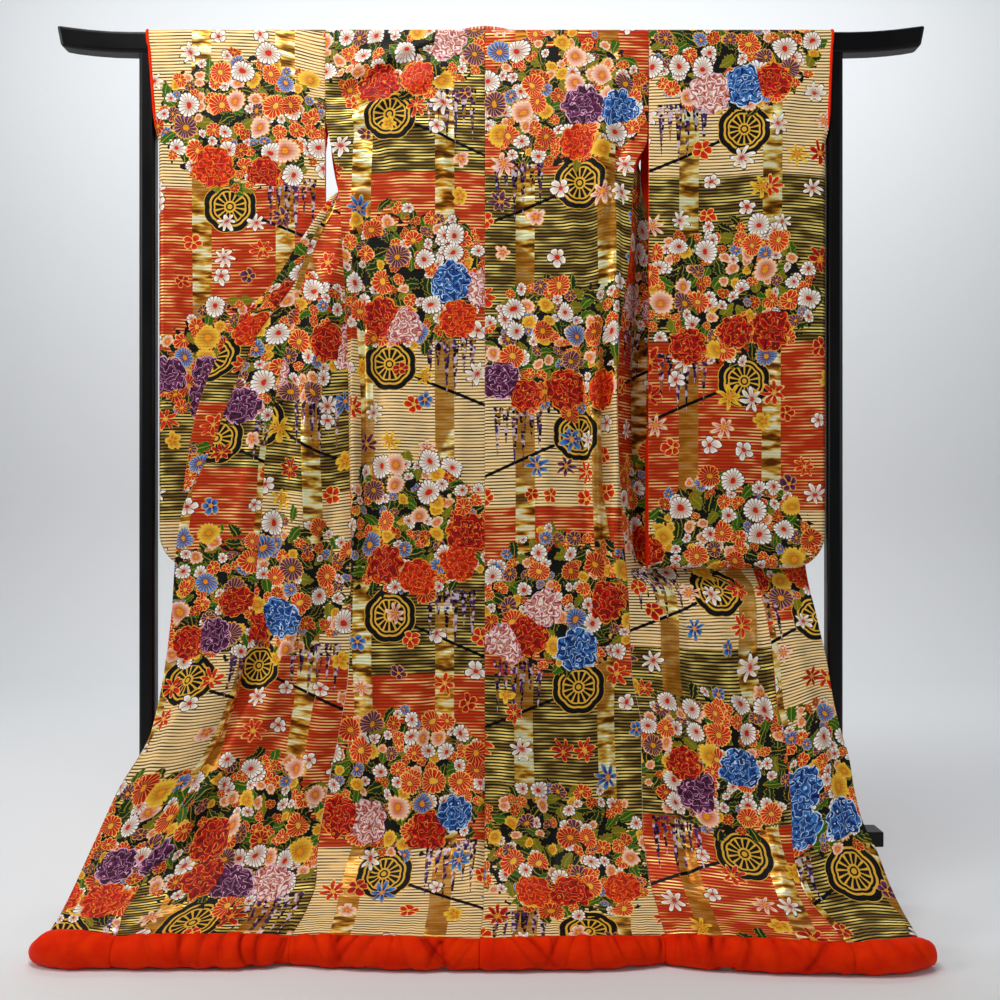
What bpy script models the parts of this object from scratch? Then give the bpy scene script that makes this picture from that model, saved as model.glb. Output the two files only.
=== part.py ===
import math

import bmesh
import bpy
import numpy as np

# A wedding over-kimono with a padded hem, hung back to front on a lacquered stand.
# X runs to the right, Z up. Lengths are metres. The tables measure Y from the middle of
# the bar, and every object is then moved back by BAR_SETBACK to centre the whole.
BAR_SETBACK = 0.0662
CLOTH_THICKNESS = 0.0024
SEAM_GAP = 0.0003
TWIST_GAP = 0.0014
CENTRE_BACK = -0.0115

# The stand
BAR_HALF_LENGTH = 0.845
BAR_BOTTOM = 1.658
BAR_TOP = 1.6985
BAR_DEPTH = 0.035
BAR_END_RISE = ((0.70, 0.0), (0.74, 0.0012), (0.78, 0.0042), (0.812, 0.0080), (0.845, 0.0125))
POST_CENTRE = 0.6708
POST_WIDTH = 0.031
FOOT_HEIGHT = 0.046
FOOT_WIDTH = 0.050
FOOT_FRONT = -0.185
FOOT_BACK = 0.200
RAIL_HALF_LENGTH = 0.7607
RAIL_BOTTOM = 0.1145
RAIL_TOP = 0.144
RAIL_DEPTH = 0.050

# The cloth's middle surface where it goes over the bar: length down from the shoulder
# line, distance out from the bar's middle, height
OVER_BAR = (
    (0.0000, 0.0000, 1.7022),
    (0.0100, 0.0100, 1.7020),
    (0.0141, 0.0139, 1.7010),
    (0.0176, 0.0168, 1.6990),
    (0.0207, 0.0187, 1.6965),
    (0.0243, 0.0197, 1.6930),
    (0.0504, 0.0203, 1.6670),
)
NECK_HALF_WIDTH = 0.0765
NECK_DROP = 0.014

# Heights of the rows below the bar. The last is the hem, which follows the padded roll.
LEVELS = (
    1.667, 1.62, 1.575, 1.53, 1.49, 1.455, 1.42, 1.385, 1.352, 1.315, 1.27, 1.21, 1.13,
    1.04, 0.95, 0.86, 0.78, 0.70, 0.66, 0.635, 0.59, 0.54, 0.48, 0.41, 0.35, 0.30, 0.25,
    0.20, 0.155, 0.115, 0.085, 0.062, 0.0445,
)
FIRST_SIDE_SEAM_LEVEL = {"left": 8, "right": 6}
FIRST_OVERLAP_LEVEL = 6

# Back: height, left side x y, left middle y, centre seam y, right middle y, right side x y
BACK = (
    (1.667, -0.3210, -0.0203, -0.0210, -0.0210, -0.0210, 0.3060, -0.0203),
    (1.620, -0.3210, -0.0212, -0.0235, -0.0225, -0.0235, 0.3060, -0.0212),
    (1.530, -0.3200, -0.0230, -0.0270, -0.0255, -0.0270, 0.3050, -0.0230),
    (1.480, -0.3110, -0.0250, -0.0285, -0.0270, -0.0280, 0.3020, -0.0240),
    (1.433, -0.3010, -0.0275, -0.0300, -0.0280, -0.0295, 0.2780, -0.0290),
    (1.366, -0.2915, -0.0300, -0.0320, -0.0295, -0.0315, 0.2730, -0.0310),
    (1.269, -0.2860, -0.0310, -0.0350, -0.0305, -0.0345, 0.2685, -0.0315),
    (1.115, -0.2780, -0.0320, -0.0370, -0.0315, -0.0365, 0.2490, -0.0320),
    (0.980, -0.2740, -0.0320, -0.0370, -0.0320, -0.0360, 0.2430, -0.0320),
    (0.883, -0.2720, -0.0320, -0.0365, -0.0320, -0.0355, 0.2450, -0.0320),
    (0.748, -0.2690, -0.0325, -0.0360, -0.0320, -0.0350, 0.2530, -0.0325),
    (0.594, -0.2695, -0.0330, -0.0370, -0.0330, -0.0360, 0.2650, -0.0335),
    (0.453, -0.2740, -0.0355, -0.0390, -0.0350, -0.0385, 0.2715, -0.0360),
    (0.350, -0.2890, -0.0430, -0.0440, -0.0420, -0.0440, 0.2880, -0.0420),
    (0.250, -0.3070, -0.0640, -0.0620, -0.0600, -0.0620, 0.2870, -0.0600),
    (0.180, -0.3165, -0.0870, -0.0800, -0.0770, -0.0800, 0.2860, -0.0800),
    (0.131, -0.3190, -0.1150, -0.1050, -0.1000, -0.1050, 0.2865, -0.1080),
    (0.090, -0.3150, -0.1550, -0.1530, -0.1480, -0.1530, 0.2900, -0.1500),
    (0.062, -0.3230, -0.2020, -0.2020, -0.2000, -0.2020, 0.2960, -0.2000),
    (0.0445, -0.3380, -0.2500, -0.2500, -0.2500, -0.2500, 0.3000, -0.2500),
)

# Left front, outside cloth turned to the wall above the slit and to the viewer below it:
# height, then x y of the side, the panel's middle, the overlap seam, the collar seam and
# the free edge
FRONT_LEFT = (
    (1.667, -0.3210, 0.0203, -0.2100, 0.0225, -0.1040, 0.0240, -0.1040, 0.0240, -0.0620, 0.0330),
    (1.600, -0.3205, 0.0220, -0.2350, 0.0310, -0.1650, 0.0370, -0.1650, 0.0370, -0.1220, 0.0440),
    (1.530, -0.3195, 0.0230, -0.2600, 0.0420, -0.2150, 0.0480, -0.2150, 0.0480, -0.1780, 0.0535),
    (1.470, -0.3150, 0.0180, -0.2830, 0.0420, -0.2550, 0.0490, -0.2550, 0.0490, -0.2300, 0.0540),
    (1.420, -0.3050, 0.0000, -0.2970, 0.0220, -0.2890, 0.0340, -0.2840, 0.0380, -0.2750, 0.0400),
    (1.385, -0.2955, -0.0180, -0.2980, -0.0040, -0.3010, 0.0040, -0.3040, 0.0050, -0.3090, 0.0010),
    (1.352, -0.2900, -0.0302, -0.2970, -0.0230, -0.3040, -0.0210, -0.3110, -0.0240, -0.3220, -0.0330),
    (1.315, -0.2885, -0.0306, -0.3040, -0.0270, -0.3200, -0.0310, -0.3300, -0.0370, -0.3430, -0.0440),
    (1.270, -0.2860, -0.0310, -0.3130, -0.0330, -0.3390, -0.0390, -0.3500, -0.0440, -0.3720, -0.0490),
    (1.210, -0.2830, -0.0315, -0.3230, -0.0370, -0.3580, -0.0430, -0.3710, -0.0470, -0.4090, -0.0520),
    (1.096, -0.2770, -0.0320, -0.3350, -0.0440, -0.3870, -0.0480, -0.4480, -0.0520, -0.5000, -0.0550),
    (0.966, -0.2740, -0.0320, -0.3460, -0.0460, -0.4140, -0.0500, -0.5030, -0.0530, -0.5560, -0.0560),
    (0.867, -0.2715, -0.0320, -0.3500, -0.0460, -0.4310, -0.0500, -0.5400, -0.0545, -0.5770, -0.0560),
    (0.769, -0.2700, -0.0325, -0.3540, -0.0460, -0.4370, -0.0500, -0.5865, -0.0560, -0.5890, -0.0560),
    (0.685, -0.2685, -0.0328, -0.3570, -0.0460, -0.4460, -0.0500, -0.6000, -0.0560, -0.6000, -0.0560),
    (0.588, -0.2700, -0.0330, -0.3620, -0.0470, -0.4540, -0.0510, -0.6060, -0.0570, -0.6060, -0.0570),
    (0.482, -0.2730, -0.0350, -0.3700, -0.0500, -0.4670, -0.0550, -0.6170, -0.0610, -0.6170, -0.0610),
    (0.353, -0.2880, -0.0430, -0.3970, -0.0620, -0.5050, -0.0800, -0.6350, -0.0880, -0.6350, -0.0880),
    (0.250, -0.3070, -0.0640, -0.4320, -0.0920, -0.5560, -0.1130, -0.6860, -0.1180, -0.6860, -0.1180),
    (0.180, -0.3165, -0.0870, -0.4520, -0.1200, -0.5860, -0.1420, -0.7120, -0.1420, -0.7120, -0.1420),
    (0.131, -0.3190, -0.1150, -0.4600, -0.1450, -0.6050, -0.1680, -0.7280, -0.1660, -0.7280, -0.1660),
    (0.090, -0.3150, -0.1550, -0.4680, -0.1880, -0.6220, -0.2080, -0.7380, -0.2000, -0.7380, -0.2000),
    (0.062, -0.3230, -0.2020, -0.4780, -0.2260, -0.6330, -0.2380, -0.7460, -0.2250, -0.7460, -0.2250),
    (0.0445, -0.3380, -0.2500, -0.4850, -0.2500, -0.6300, -0.2500, -0.7540, -0.2400, -0.7540, -0.2400),
)

# Right front, which stays behind the right sleeve down to the sleeve's foot
FRONT_RIGHT = (
    (1.667, 0.3060, 0.0203, 0.2000, 0.0225, 0.0840, 0.0240, 0.0840, 0.0240, 0.0400, 0.0330),
    (1.600, 0.3060, 0.0220, 0.2200, 0.0310, 0.1450, 0.0370, 0.1450, 0.0370, 0.1020, 0.0440),
    (1.530, 0.3045, 0.0230, 0.2460, 0.0420, 0.1950, 0.0480, 0.1950, 0.0480, 0.1570, 0.0500),
    (1.470, 0.2980, 0.0120, 0.2850, 0.0380, 0.2750, 0.0480, 0.2750, 0.0480, 0.2560, 0.0540),
    (1.440, 0.2850, -0.0150, 0.2930, 0.0180, 0.2990, 0.0400, 0.2990, 0.0450, 0.3010, 0.0520),
    (1.420, 0.2770, -0.0300, 0.2890, 0.0080, 0.3010, 0.0370, 0.3040, 0.0430, 0.3100, 0.0520),
    (1.385, 0.2745, -0.0306, 0.2890, 0.0060, 0.3030, 0.0360, 0.3100, 0.0420, 0.3240, 0.0500),
    (1.352, 0.2725, -0.0310, 0.2900, 0.0100, 0.3140, 0.0410, 0.3260, 0.0460, 0.3620, 0.0510),
    (1.270, 0.2685, -0.0315, 0.2930, 0.0210, 0.3560, 0.0450, 0.3720, 0.0470, 0.4260, 0.0500),
    (1.180, 0.2570, -0.0320, 0.2930, 0.0270, 0.3900, 0.0460, 0.4260, 0.0480, 0.4780, 0.0490),
    (1.096, 0.2480, -0.0320, 0.2930, 0.0290, 0.4150, 0.0450, 0.4770, 0.0470, 0.5280, 0.0480),
    (0.980, 0.2430, -0.0320, 0.2940, 0.0300, 0.4450, 0.0440, 0.5330, 0.0460, 0.5850, 0.0470),
    (0.870, 0.2455, -0.0320, 0.2960, 0.0300, 0.4700, 0.0430, 0.5740, 0.0440, 0.6100, 0.0450),
    (0.769, 0.2520, -0.0325, 0.2980, 0.0290, 0.4930, 0.0390, 0.6175, 0.0410, 0.6200, 0.0410),
    (0.690, 0.2580, -0.0328, 0.3000, 0.0260, 0.5120, 0.0320, 0.6220, 0.0330, 0.6220, 0.0330),
    (0.650, 0.2610, -0.0331, 0.3040, 0.0180, 0.5200, 0.0250, 0.6250, 0.0260, 0.6250, 0.0260),
    (0.610, 0.2640, -0.0333, 0.3350, -0.0120, 0.5300, 0.0100, 0.6280, 0.0100, 0.6280, 0.0100),
    (0.5775, 0.2660, -0.0336, 0.3750, -0.0250, 0.5350, -0.0040, 0.6320, -0.0060, 0.6320, -0.0060),
    (0.534, 0.2680, -0.0345, 0.3980, -0.0330, 0.5400, -0.0200, 0.6380, -0.0200, 0.6380, -0.0200),
    (0.4745, 0.2710, -0.0355, 0.4060, -0.0400, 0.5440, -0.0360, 0.6470, -0.0350, 0.6470, -0.0350),
    (0.402, 0.2800, -0.0385, 0.4120, -0.0500, 0.5456, -0.0540, 0.6540, -0.0520, 0.6540, -0.0520),
    (0.350, 0.2880, -0.0420, 0.4180, -0.0600, 0.5530, -0.0720, 0.6620, -0.0680, 0.6620, -0.0680),
    (0.300, 0.2880, -0.0500, 0.4200, -0.0740, 0.5560, -0.0880, 0.6720, -0.0860, 0.6720, -0.0860),
    (0.250, 0.2870, -0.0600, 0.4200, -0.0900, 0.5550, -0.1060, 0.6740, -0.1060, 0.6740, -0.1060),
    (0.200, 0.2860, -0.0730, 0.4180, -0.1080, 0.5510, -0.1290, 0.6800, -0.1300, 0.6800, -0.1300),
    (0.150, 0.2862, -0.0960, 0.4180, -0.1340, 0.5460, -0.1580, 0.6970, -0.1600, 0.6970, -0.1600),
    (0.110, 0.2880, -0.1280, 0.4210, -0.1670, 0.5480, -0.1900, 0.7040, -0.1920, 0.7040, -0.1920),
    (0.080, 0.2920, -0.1660, 0.4300, -0.2040, 0.5600, -0.2200, 0.7120, -0.2180, 0.7120, -0.2180),
    (0.062, 0.2960, -0.2000, 0.4400, -0.2330, 0.5780, -0.2420, 0.7180, -0.2360, 0.7180, -0.2360),
    (0.0445, 0.3000, -0.2500, 0.4480, -0.2600, 0.5970, -0.2700, 0.7250, -0.2500, 0.7250, -0.2500),
)

# Collar round the neck, mirrored for the right half: x y z of the neck seam, of the
# crest and of the free edge, each x counted from the centre seam
NECK_COLLAR = (
    (0.0000, -0.0125, 1.7030, 0.0000, 0.0060, 1.7160, 0.0000, 0.0330, 1.7010),
    (0.0280, -0.0115, 1.7030, 0.0260, 0.0070, 1.7140, 0.0200, 0.0340, 1.6970),
    (0.0560, -0.0050, 1.7035, 0.0500, 0.0110, 1.7090, 0.0360, 0.0350, 1.6880),
    (0.0755, 0.0030, 1.7032, 0.0650, 0.0165, 1.7062, 0.0430, 0.0345, 1.6810),
    (0.0810, 0.0130, 1.7030, 0.0710, 0.0228, 1.7008, 0.0465, 0.0342, 1.6760),
    (0.0850, 0.0188, 1.6990, 0.0745, 0.0238, 1.6920, 0.0485, 0.0335, 1.6715),
)

# Broad folds that stand out towards the viewer, or back where the height is negative:
# x z of the top, x z of the foot, half width, height
BODY_FOLDS = (
    (-0.300, 1.300, -0.318, 1.080, 0.022, 0.018),
    (-0.262, 1.360, -0.268, 0.950, 0.016, -0.008),
    (-0.345, 1.050, -0.395, 0.620, 0.040, 0.010),
    (-0.380, 0.900, -0.470, 0.380, 0.032, -0.009),
    (-0.455, 0.560, -0.640, 0.180, 0.038, 0.018),
    (-0.400, 0.360, -0.540, 0.150, 0.034, -0.015),
    (-0.310, 0.420, -0.390, 0.130, 0.030, 0.014),
    (-0.240, 1.640, -0.150, 1.300, 0.028, 0.006),
    (-0.140, 0.420, -0.170, 0.110, 0.034, 0.012),
    (-0.060, 0.340, -0.070, 0.110, 0.030, -0.009),
    (0.060, 0.360, 0.070, 0.120, 0.032, 0.009),
    (0.165, 0.460, 0.190, 0.120, 0.034, 0.011),
    (0.205, 1.000, 0.225, 0.520, 0.024, 0.010),
    (0.180, 1.600, 0.235, 1.200, 0.028, 0.007),
    (0.375, 0.500, 0.430, 0.160, 0.036, 0.015),
    (0.480, 0.520, 0.500, 0.150, 0.030, -0.011),
    (0.600, 0.420, 0.640, 0.160, 0.030, 0.012),
)

# Padded roll at the hem: x, y and radius of its middle line, from the left tip to the right
ROLL = (
    (-0.7790, -0.2560, 0.0120),
    (-0.7690, -0.2620, 0.0215),
    (-0.7500, -0.2710, 0.0290),
    (-0.7000, -0.2800, 0.0280),
    (-0.6270, -0.2840, 0.0250),
    (-0.5600, -0.2850, 0.0270),
    (-0.4500, -0.2830, 0.0270),
    (-0.3900, -0.2800, 0.0262),
    (-0.3350, -0.2700, 0.0225),
    (-0.2800, -0.2780, 0.0252),
    (-0.1800, -0.2880, 0.0262),
    (-0.0160, -0.2920, 0.0245),
    (0.1200, -0.2900, 0.0262),
    (0.2300, -0.2830, 0.0252),
    (0.2950, -0.2700, 0.0225),
    (0.3500, -0.2850, 0.0262),
    (0.4500, -0.2980, 0.0265),
    (0.5970, -0.3080, 0.0245),
    (0.6600, -0.3060, 0.0265),
    (0.7100, -0.2940, 0.0265),
    (0.7350, -0.2780, 0.0215),
    (0.7440, -0.2680, 0.0130),
)
ROLL_SEAMS = (-0.7790, -0.6270, -0.3350, -0.0160, 0.2950, 0.5970, 0.7440)
ROLL_NODES = (
    "hem_roll_overlap_left",
    "hem_roll_front_left",
    "hem_roll_back_left",
    "hem_roll_back_right",
    "hem_roll_front_right",
    "hem_roll_overlap_right",
)
HEM_SEAM_ANGLE = math.radians(42)

# Sleeves: inner edge x, outer edge x, outer edge x at the bar
SLEEVES = {"left": (-0.3210, -0.6475, -0.6690), "right": (0.3060, 0.6525, 0.6640)}
SLEEVE_FOOT = 0.654
SLEEVE_CORNER = 0.068
CUFF_END = 1.485
SLEEVE_EDGE_ROUND = 0.014
# Height, half the space between the sleeve's two layers
SLEEVE_FULLNESS = (
    (1.667, 0.0203),
    (1.600, 0.0216),
    (1.530, 0.0230),
    (1.400, 0.0215),
    (1.200, 0.0200),
    (0.900, 0.0175),
    (0.654, 0.0150),
)
SLEEVE_LEVELS = (
    1.667, 1.62, 1.575, 1.53, 1.505, 1.48, 1.45, 1.40, 1.30, 1.18, 1.05, 0.93, 0.83,
    0.76, 0.715, 0.685, 0.668, 0.6575, 0.654,
)
# Soft drag folds in a sleeve: x from the inner edge as a share of the width and z of the
# top, the same of the foot, half width, height
SLEEVE_FOLDS = (
    (0.06, 1.640, 0.30, 1.420, 0.026, 0.005),
    (0.88, 1.660, 0.62, 1.430, 0.026, 0.006),
    (0.45, 1.100, 0.52, 0.760, 0.040, 0.005),
    (0.80, 1.200, 0.76, 0.800, 0.036, -0.004),
    (0.20, 1.000, 0.16, 0.720, 0.036, -0.004),
)

GOLD_CLOTH = (0.62, 0.40, 0.16)
LINING_RED = (0.62, 0.06, 0.02)
LACQUER = (0.012, 0.012, 0.014)


def new_collection(name, hidden=False):
    collection = bpy.data.collections.new(name)
    bpy.context.scene.collection.children.link(collection)
    collection.hide_render = hidden
    return collection


def material(name, colour, roughness, metallic):
    made = bpy.data.materials.new(name)
    made.use_nodes = True
    shader = made.node_tree.nodes["Principled BSDF"]
    shader.inputs["Base Color"].default_value = (*colour, 1.0)
    shader.inputs["Roughness"].default_value = roughness
    shader.inputs["Metallic"].default_value = metallic
    return made


def add_object(name, bm, colour, roughness=0.6, metallic=0.0, collection=None):
    mesh = bpy.data.meshes.new(name)
    bm.to_mesh(mesh)
    bm.free()
    mesh.shade_smooth()
    mesh.set_sharp_from_angle(angle=math.radians(45))
    obj = bpy.data.objects.new(name, mesh)
    obj.location = (0.0, BAR_SETBACK, 0.0)
    obj.data.materials.append(material(name, colour, roughness, metallic))
    (collection or KIMONO).objects.link(obj)
    return obj


def bevel(obj, width, segments):
    modifier = obj.modifiers.new("edges", "BEVEL")
    modifier.width = width
    modifier.segments = segments
    modifier.limit_method = "ANGLE"
    modifier.angle_limit = math.radians(40)


def block(low, high):
    """A box between two corners."""
    bm = bmesh.new()
    bmesh.ops.create_cube(bm, size=1.0)
    low = np.array(low)
    high = np.array(high)
    for vert in bm.verts:
        vert.co = low + (np.array(vert.co) + 0.5) * (high - low)
    return bm


def cut_across(bm, places, axis):
    """Extra loops round a box, so that it can be bent."""
    normal = [0.0, 0.0, 0.0]
    normal[axis] = 1.0
    for place in places:
        point = [0.0, 0.0, 0.0]
        point[axis] = place
        geom = bm.verts[:] + bm.edges[:] + bm.faces[:]
        bmesh.ops.bisect_plane(bm, geom=geom, dist=1e-6, plane_co=point, plane_no=normal)


def smooth_table(table, places):
    """Each column at these places, on a smooth curve through the rows that never overshoots them."""
    rows = np.array(table, float)
    rows = rows[np.argsort(rows[:, 0])]
    at = rows[:, 0]
    values = rows[:, 1:]
    step = np.diff(at)[:, None]
    slope = np.diff(values, axis=0) / step
    tangent = np.zeros_like(values)
    same = slope[:-1] * slope[1:] > 0
    total = np.where(same, slope[:-1] + slope[1:], 1.0)
    tangent[1:-1] = np.where(same, 2 * slope[:-1] * slope[1:] / total, 0.0)
    tangent[0] = slope[0]
    tangent[-1] = slope[-1]
    places = np.clip(np.asarray(places, float), at[0], at[-1])
    i = np.clip(np.searchsorted(at, places) - 1, 0, len(at) - 2)
    u = ((places - at[i]) / (at[i + 1] - at[i]))[..., None]
    h = step[i]
    return (
        values[i] * (2 * u**3 - 3 * u**2 + 1)
        + tangent[i] * h * (u**3 - 2 * u**2 + u)
        + values[i + 1] * (3 * u**2 - 2 * u**3)
        + tangent[i + 1] * h * (u**3 - u**2)
    )


def across(keys, first, last, columns, inset_first, inset_last):
    """Points along one row of cloth from one key to another, on a curve through all the keys."""
    keys = np.asarray(keys, float)
    length = np.r_[0.0, np.cumsum(np.linalg.norm(np.diff(keys, axis=0), axis=1))]
    keep = np.r_[True, np.diff(length) > 1e-6]
    start = length[first] + inset_first
    stop = length[last] - inset_last
    share = np.linspace(0.0, 1.0, columns)
    return smooth_table(np.c_[length[keep], keys[keep]], start + share * (stop - start))


def fold_height(x, z, folds):
    """How far the folds push the cloth out towards the viewer at this place."""
    total = np.zeros_like(np.asarray(x, float))
    for x0, z0, x1, z1, width, height in folds:
        run = np.array([x1 - x0, z1 - z0])
        size = np.hypot(*run)
        along = ((x - x0) * run[0] + (z - z0) * run[1]) / size
        aside = ((x - x0) * run[1] - (z - z0) * run[0]) / size
        beyond = np.maximum(0.0, np.maximum(-along, along - size))
        middle = np.clip(along / size, 0.0, 1.0)
        swell = 0.35 + 0.65 * np.sin(np.pi * middle)
        reach = np.exp(-((aside / width) ** 2) - (beyond / (1.6 * width)) ** 2)
        total += height * swell * reach
    return total


def over_bar(length):
    """Distance out and height of the cloth at this length down from the shoulder line."""
    return smooth_table(OVER_BAR, length)


def hem_line(x):
    """Y and z of the seam between cloth and padded roll."""
    y, radius = smooth_table(ROLL, x).T
    reach = radius + CLOTH_THICKNESS / 2 + 0.0010
    return (
        y + reach * math.cos(HEM_SEAM_ANGLE),
        np.minimum(radius, 0.026) + reach * math.sin(HEM_SEAM_ANGLE),
    )


def grid_normals(points, side):
    """Unit normals of a grid of points, on the brocade side."""
    down, right = np.gradient(points, axis=(0, 1))
    normals = np.cross(down, right) * side
    return normals / np.linalg.norm(normals, axis=2, keepdims=True)


def share_normals(first, second):
    """Makes two edges that meet at a seam lean the same way."""
    both = first + second
    both /= np.linalg.norm(both, axis=1, keepdims=True)
    first[:] = both
    second[:] = both


def cloth_wall(name, points, normals, colour):
    """A closed wall of even thickness on a grid of points."""
    rows, columns = points.shape[:2]
    bm = bmesh.new()
    bmesh.ops.create_grid(bm, x_segments=rows - 1, y_segments=columns - 1, size=1.0)
    place = {}
    for vert in bm.verts:
        row = round((vert.co.x + 1) / 2 * (rows - 1))
        column = round((vert.co.y + 1) / 2 * (columns - 1))
        place[vert] = (row, column)
    made = bmesh.ops.extrude_face_region(bm, geom=bm.faces[:])
    lifted = {}
    for item in made["geom"]:
        if isinstance(item, bmesh.types.BMVert):
            row = round((item.co.x + 1) / 2 * (rows - 1))
            column = round((item.co.y + 1) / 2 * (columns - 1))
            lifted[item] = (row, column)
    half = CLOTH_THICKNESS / 2
    for vert, index in place.items():
        vert.co = points[index] - normals[index] * half
    for vert, index in lifted.items():
        vert.co = points[index] + normals[index] * half
    bmesh.ops.recalc_face_normals(bm, faces=bm.faces[:])
    if bm.calc_volume(signed=True) < 0:
        bmesh.ops.reverse_faces(bm, faces=bm.faces[:])
    return add_object(name, bm, colour, 0.55)


def back_points(side):
    """Back panel from the neckline and shoulder line down to the hem."""
    table = smooth_table(BACK, LEVELS)
    columns = 9
    rows = []
    edge = SLEEVES[side][0]
    for length in [row[0] for row in OVER_BAR[:-1]]:
        if side == "left":
            x = np.linspace(edge + SEAM_GAP / 2, CENTRE_BACK - SEAM_GAP / 2, columns)
        else:
            x = np.linspace(CENTRE_BACK + SEAM_GAP / 2, edge - SEAM_GAP / 2, columns)
        off = np.clip(abs(x - CENTRE_BACK) / NECK_HALF_WIDTH, 0.0, 1.0)
        neckline = NECK_DROP * (1 - off**4) + SEAM_GAP / 2
        last = OVER_BAR[-2][0]
        down = neckline + (length / last) * (last - neckline)
        out, height = over_bar(down).T
        rows.append(np.c_[x, -out, height])
    for level, row in zip(LEVELS, table):
        left_x, left_y, left_mid, centre_y, right_mid, right_x, right_y = row
        centre = (CENTRE_BACK - 0.0045 * (level < 0.06), centre_y, level)
        if side == "left":
            keys = [(left_x, left_y, level), ((left_x + centre[0]) / 2, left_mid, level), centre]
        else:
            keys = [centre, ((right_x + centre[0]) / 2, right_mid, level), (right_x, right_y, level)]
        rows.append(across(keys, 0, 2, columns, SEAM_GAP / 2, SEAM_GAP / 2))
    points = np.array(rows)
    return settle(points)


def settle(points):
    """Adds the broad folds and puts the last row on the padded roll."""
    fade = np.clip((1.66 - points[..., 2]) / 0.06, 0.0, 1.0)
    low = np.clip((points[..., 2] - 0.06) / 0.08, 0.0, 1.0)
    points[..., 1] -= fade * low * fold_height(points[..., 0], points[..., 2], BODY_FOLDS)
    y, z = hem_line(points[-1, :, 0])
    points[-1, :, 1] = y
    points[-1, :, 2] = z
    return points


def front_rows(side):
    """Keys of every row of a front: side, middle, overlap seam, collar seam, free edge."""
    table = smooth_table(FRONT_LEFT if side == "left" else FRONT_RIGHT, LEVELS)
    seam = FIRST_SIDE_SEAM_LEVEL[side]
    back = smooth_table(BACK, LEVELS)
    table[seam:, 0:2] = back[seam:, 0:2] if side == "left" else back[seam:, 5:7]
    return [
        [(row[i], row[i + 1], level) for i in (0, 2, 4, 6, 8)] for level, row in zip(LEVELS, table)
    ]


def front_settle(points, side):
    """The folds show only where the front faces the viewer."""
    shown = 1.30 if side == "left" else 0.60
    z = points[..., 2]
    fade = np.clip((shown - z) / 0.06, 0.0, 1.0)
    low = np.clip((z - 0.06) / 0.08, 0.0, 1.0)
    seam = np.clip((1.66 - z) / 0.06, 0.0, 1.0)
    lift = fold_height(points[..., 0], z, BODY_FOLDS) * low
    near = np.exp(-(((points[..., 0] - points[:, :1, 0]) / 0.03) ** 2)) * (z < 1.36)
    points[..., 1] -= lift * np.maximum(fade, near * seam)
    return points


def front_pieces(side):
    """Grids of the front panel, the overlap strip and the collar's long part."""
    keys = front_rows(side)
    gap = SEAM_GAP / 2
    panel = []
    overlap = []
    collar = []
    sign = -1 if side == "left" else 1
    edge = SLEEVES[side][0]
    neck = CENTRE_BACK + sign * NECK_HALF_WIDTH
    last = OVER_BAR[-2][0]
    for length in [row[0] for row in OVER_BAR[:-1]]:
        down = SEAM_GAP / 2 + (length / last) * (last - SEAM_GAP / 2)
        out, height = over_bar(down)
        inner = neck + sign * (0.012 * length / last + 0.001)
        panel.append(np.array([(x, out, height) for x in np.linspace(edge - sign * gap, inner, 9)]))
    for i, row in enumerate(keys):
        twist = TWIST_GAP if LEVELS[i] > 1.30 else gap
        panel.append(across(row, 0, 2, 9, 0.0006, twist))
        if i >= FIRST_OVERLAP_LEVEL:
            overlap.append(across(row, 2, 3, 4, twist, twist if LEVELS[i] > 0.70 else 0.0))
        if LEVELS[i] > 0.70:
            collar.append(across(row, 3, 4, 3, 1.8 * twist, 0.0))
    return np.array(panel), np.array(overlap), np.array(collar)


def hem_edge(points):
    y, z = hem_line(points[-1, :, 0])
    points[-1, :, 1] = y
    points[-1, :, 2] = z


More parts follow.
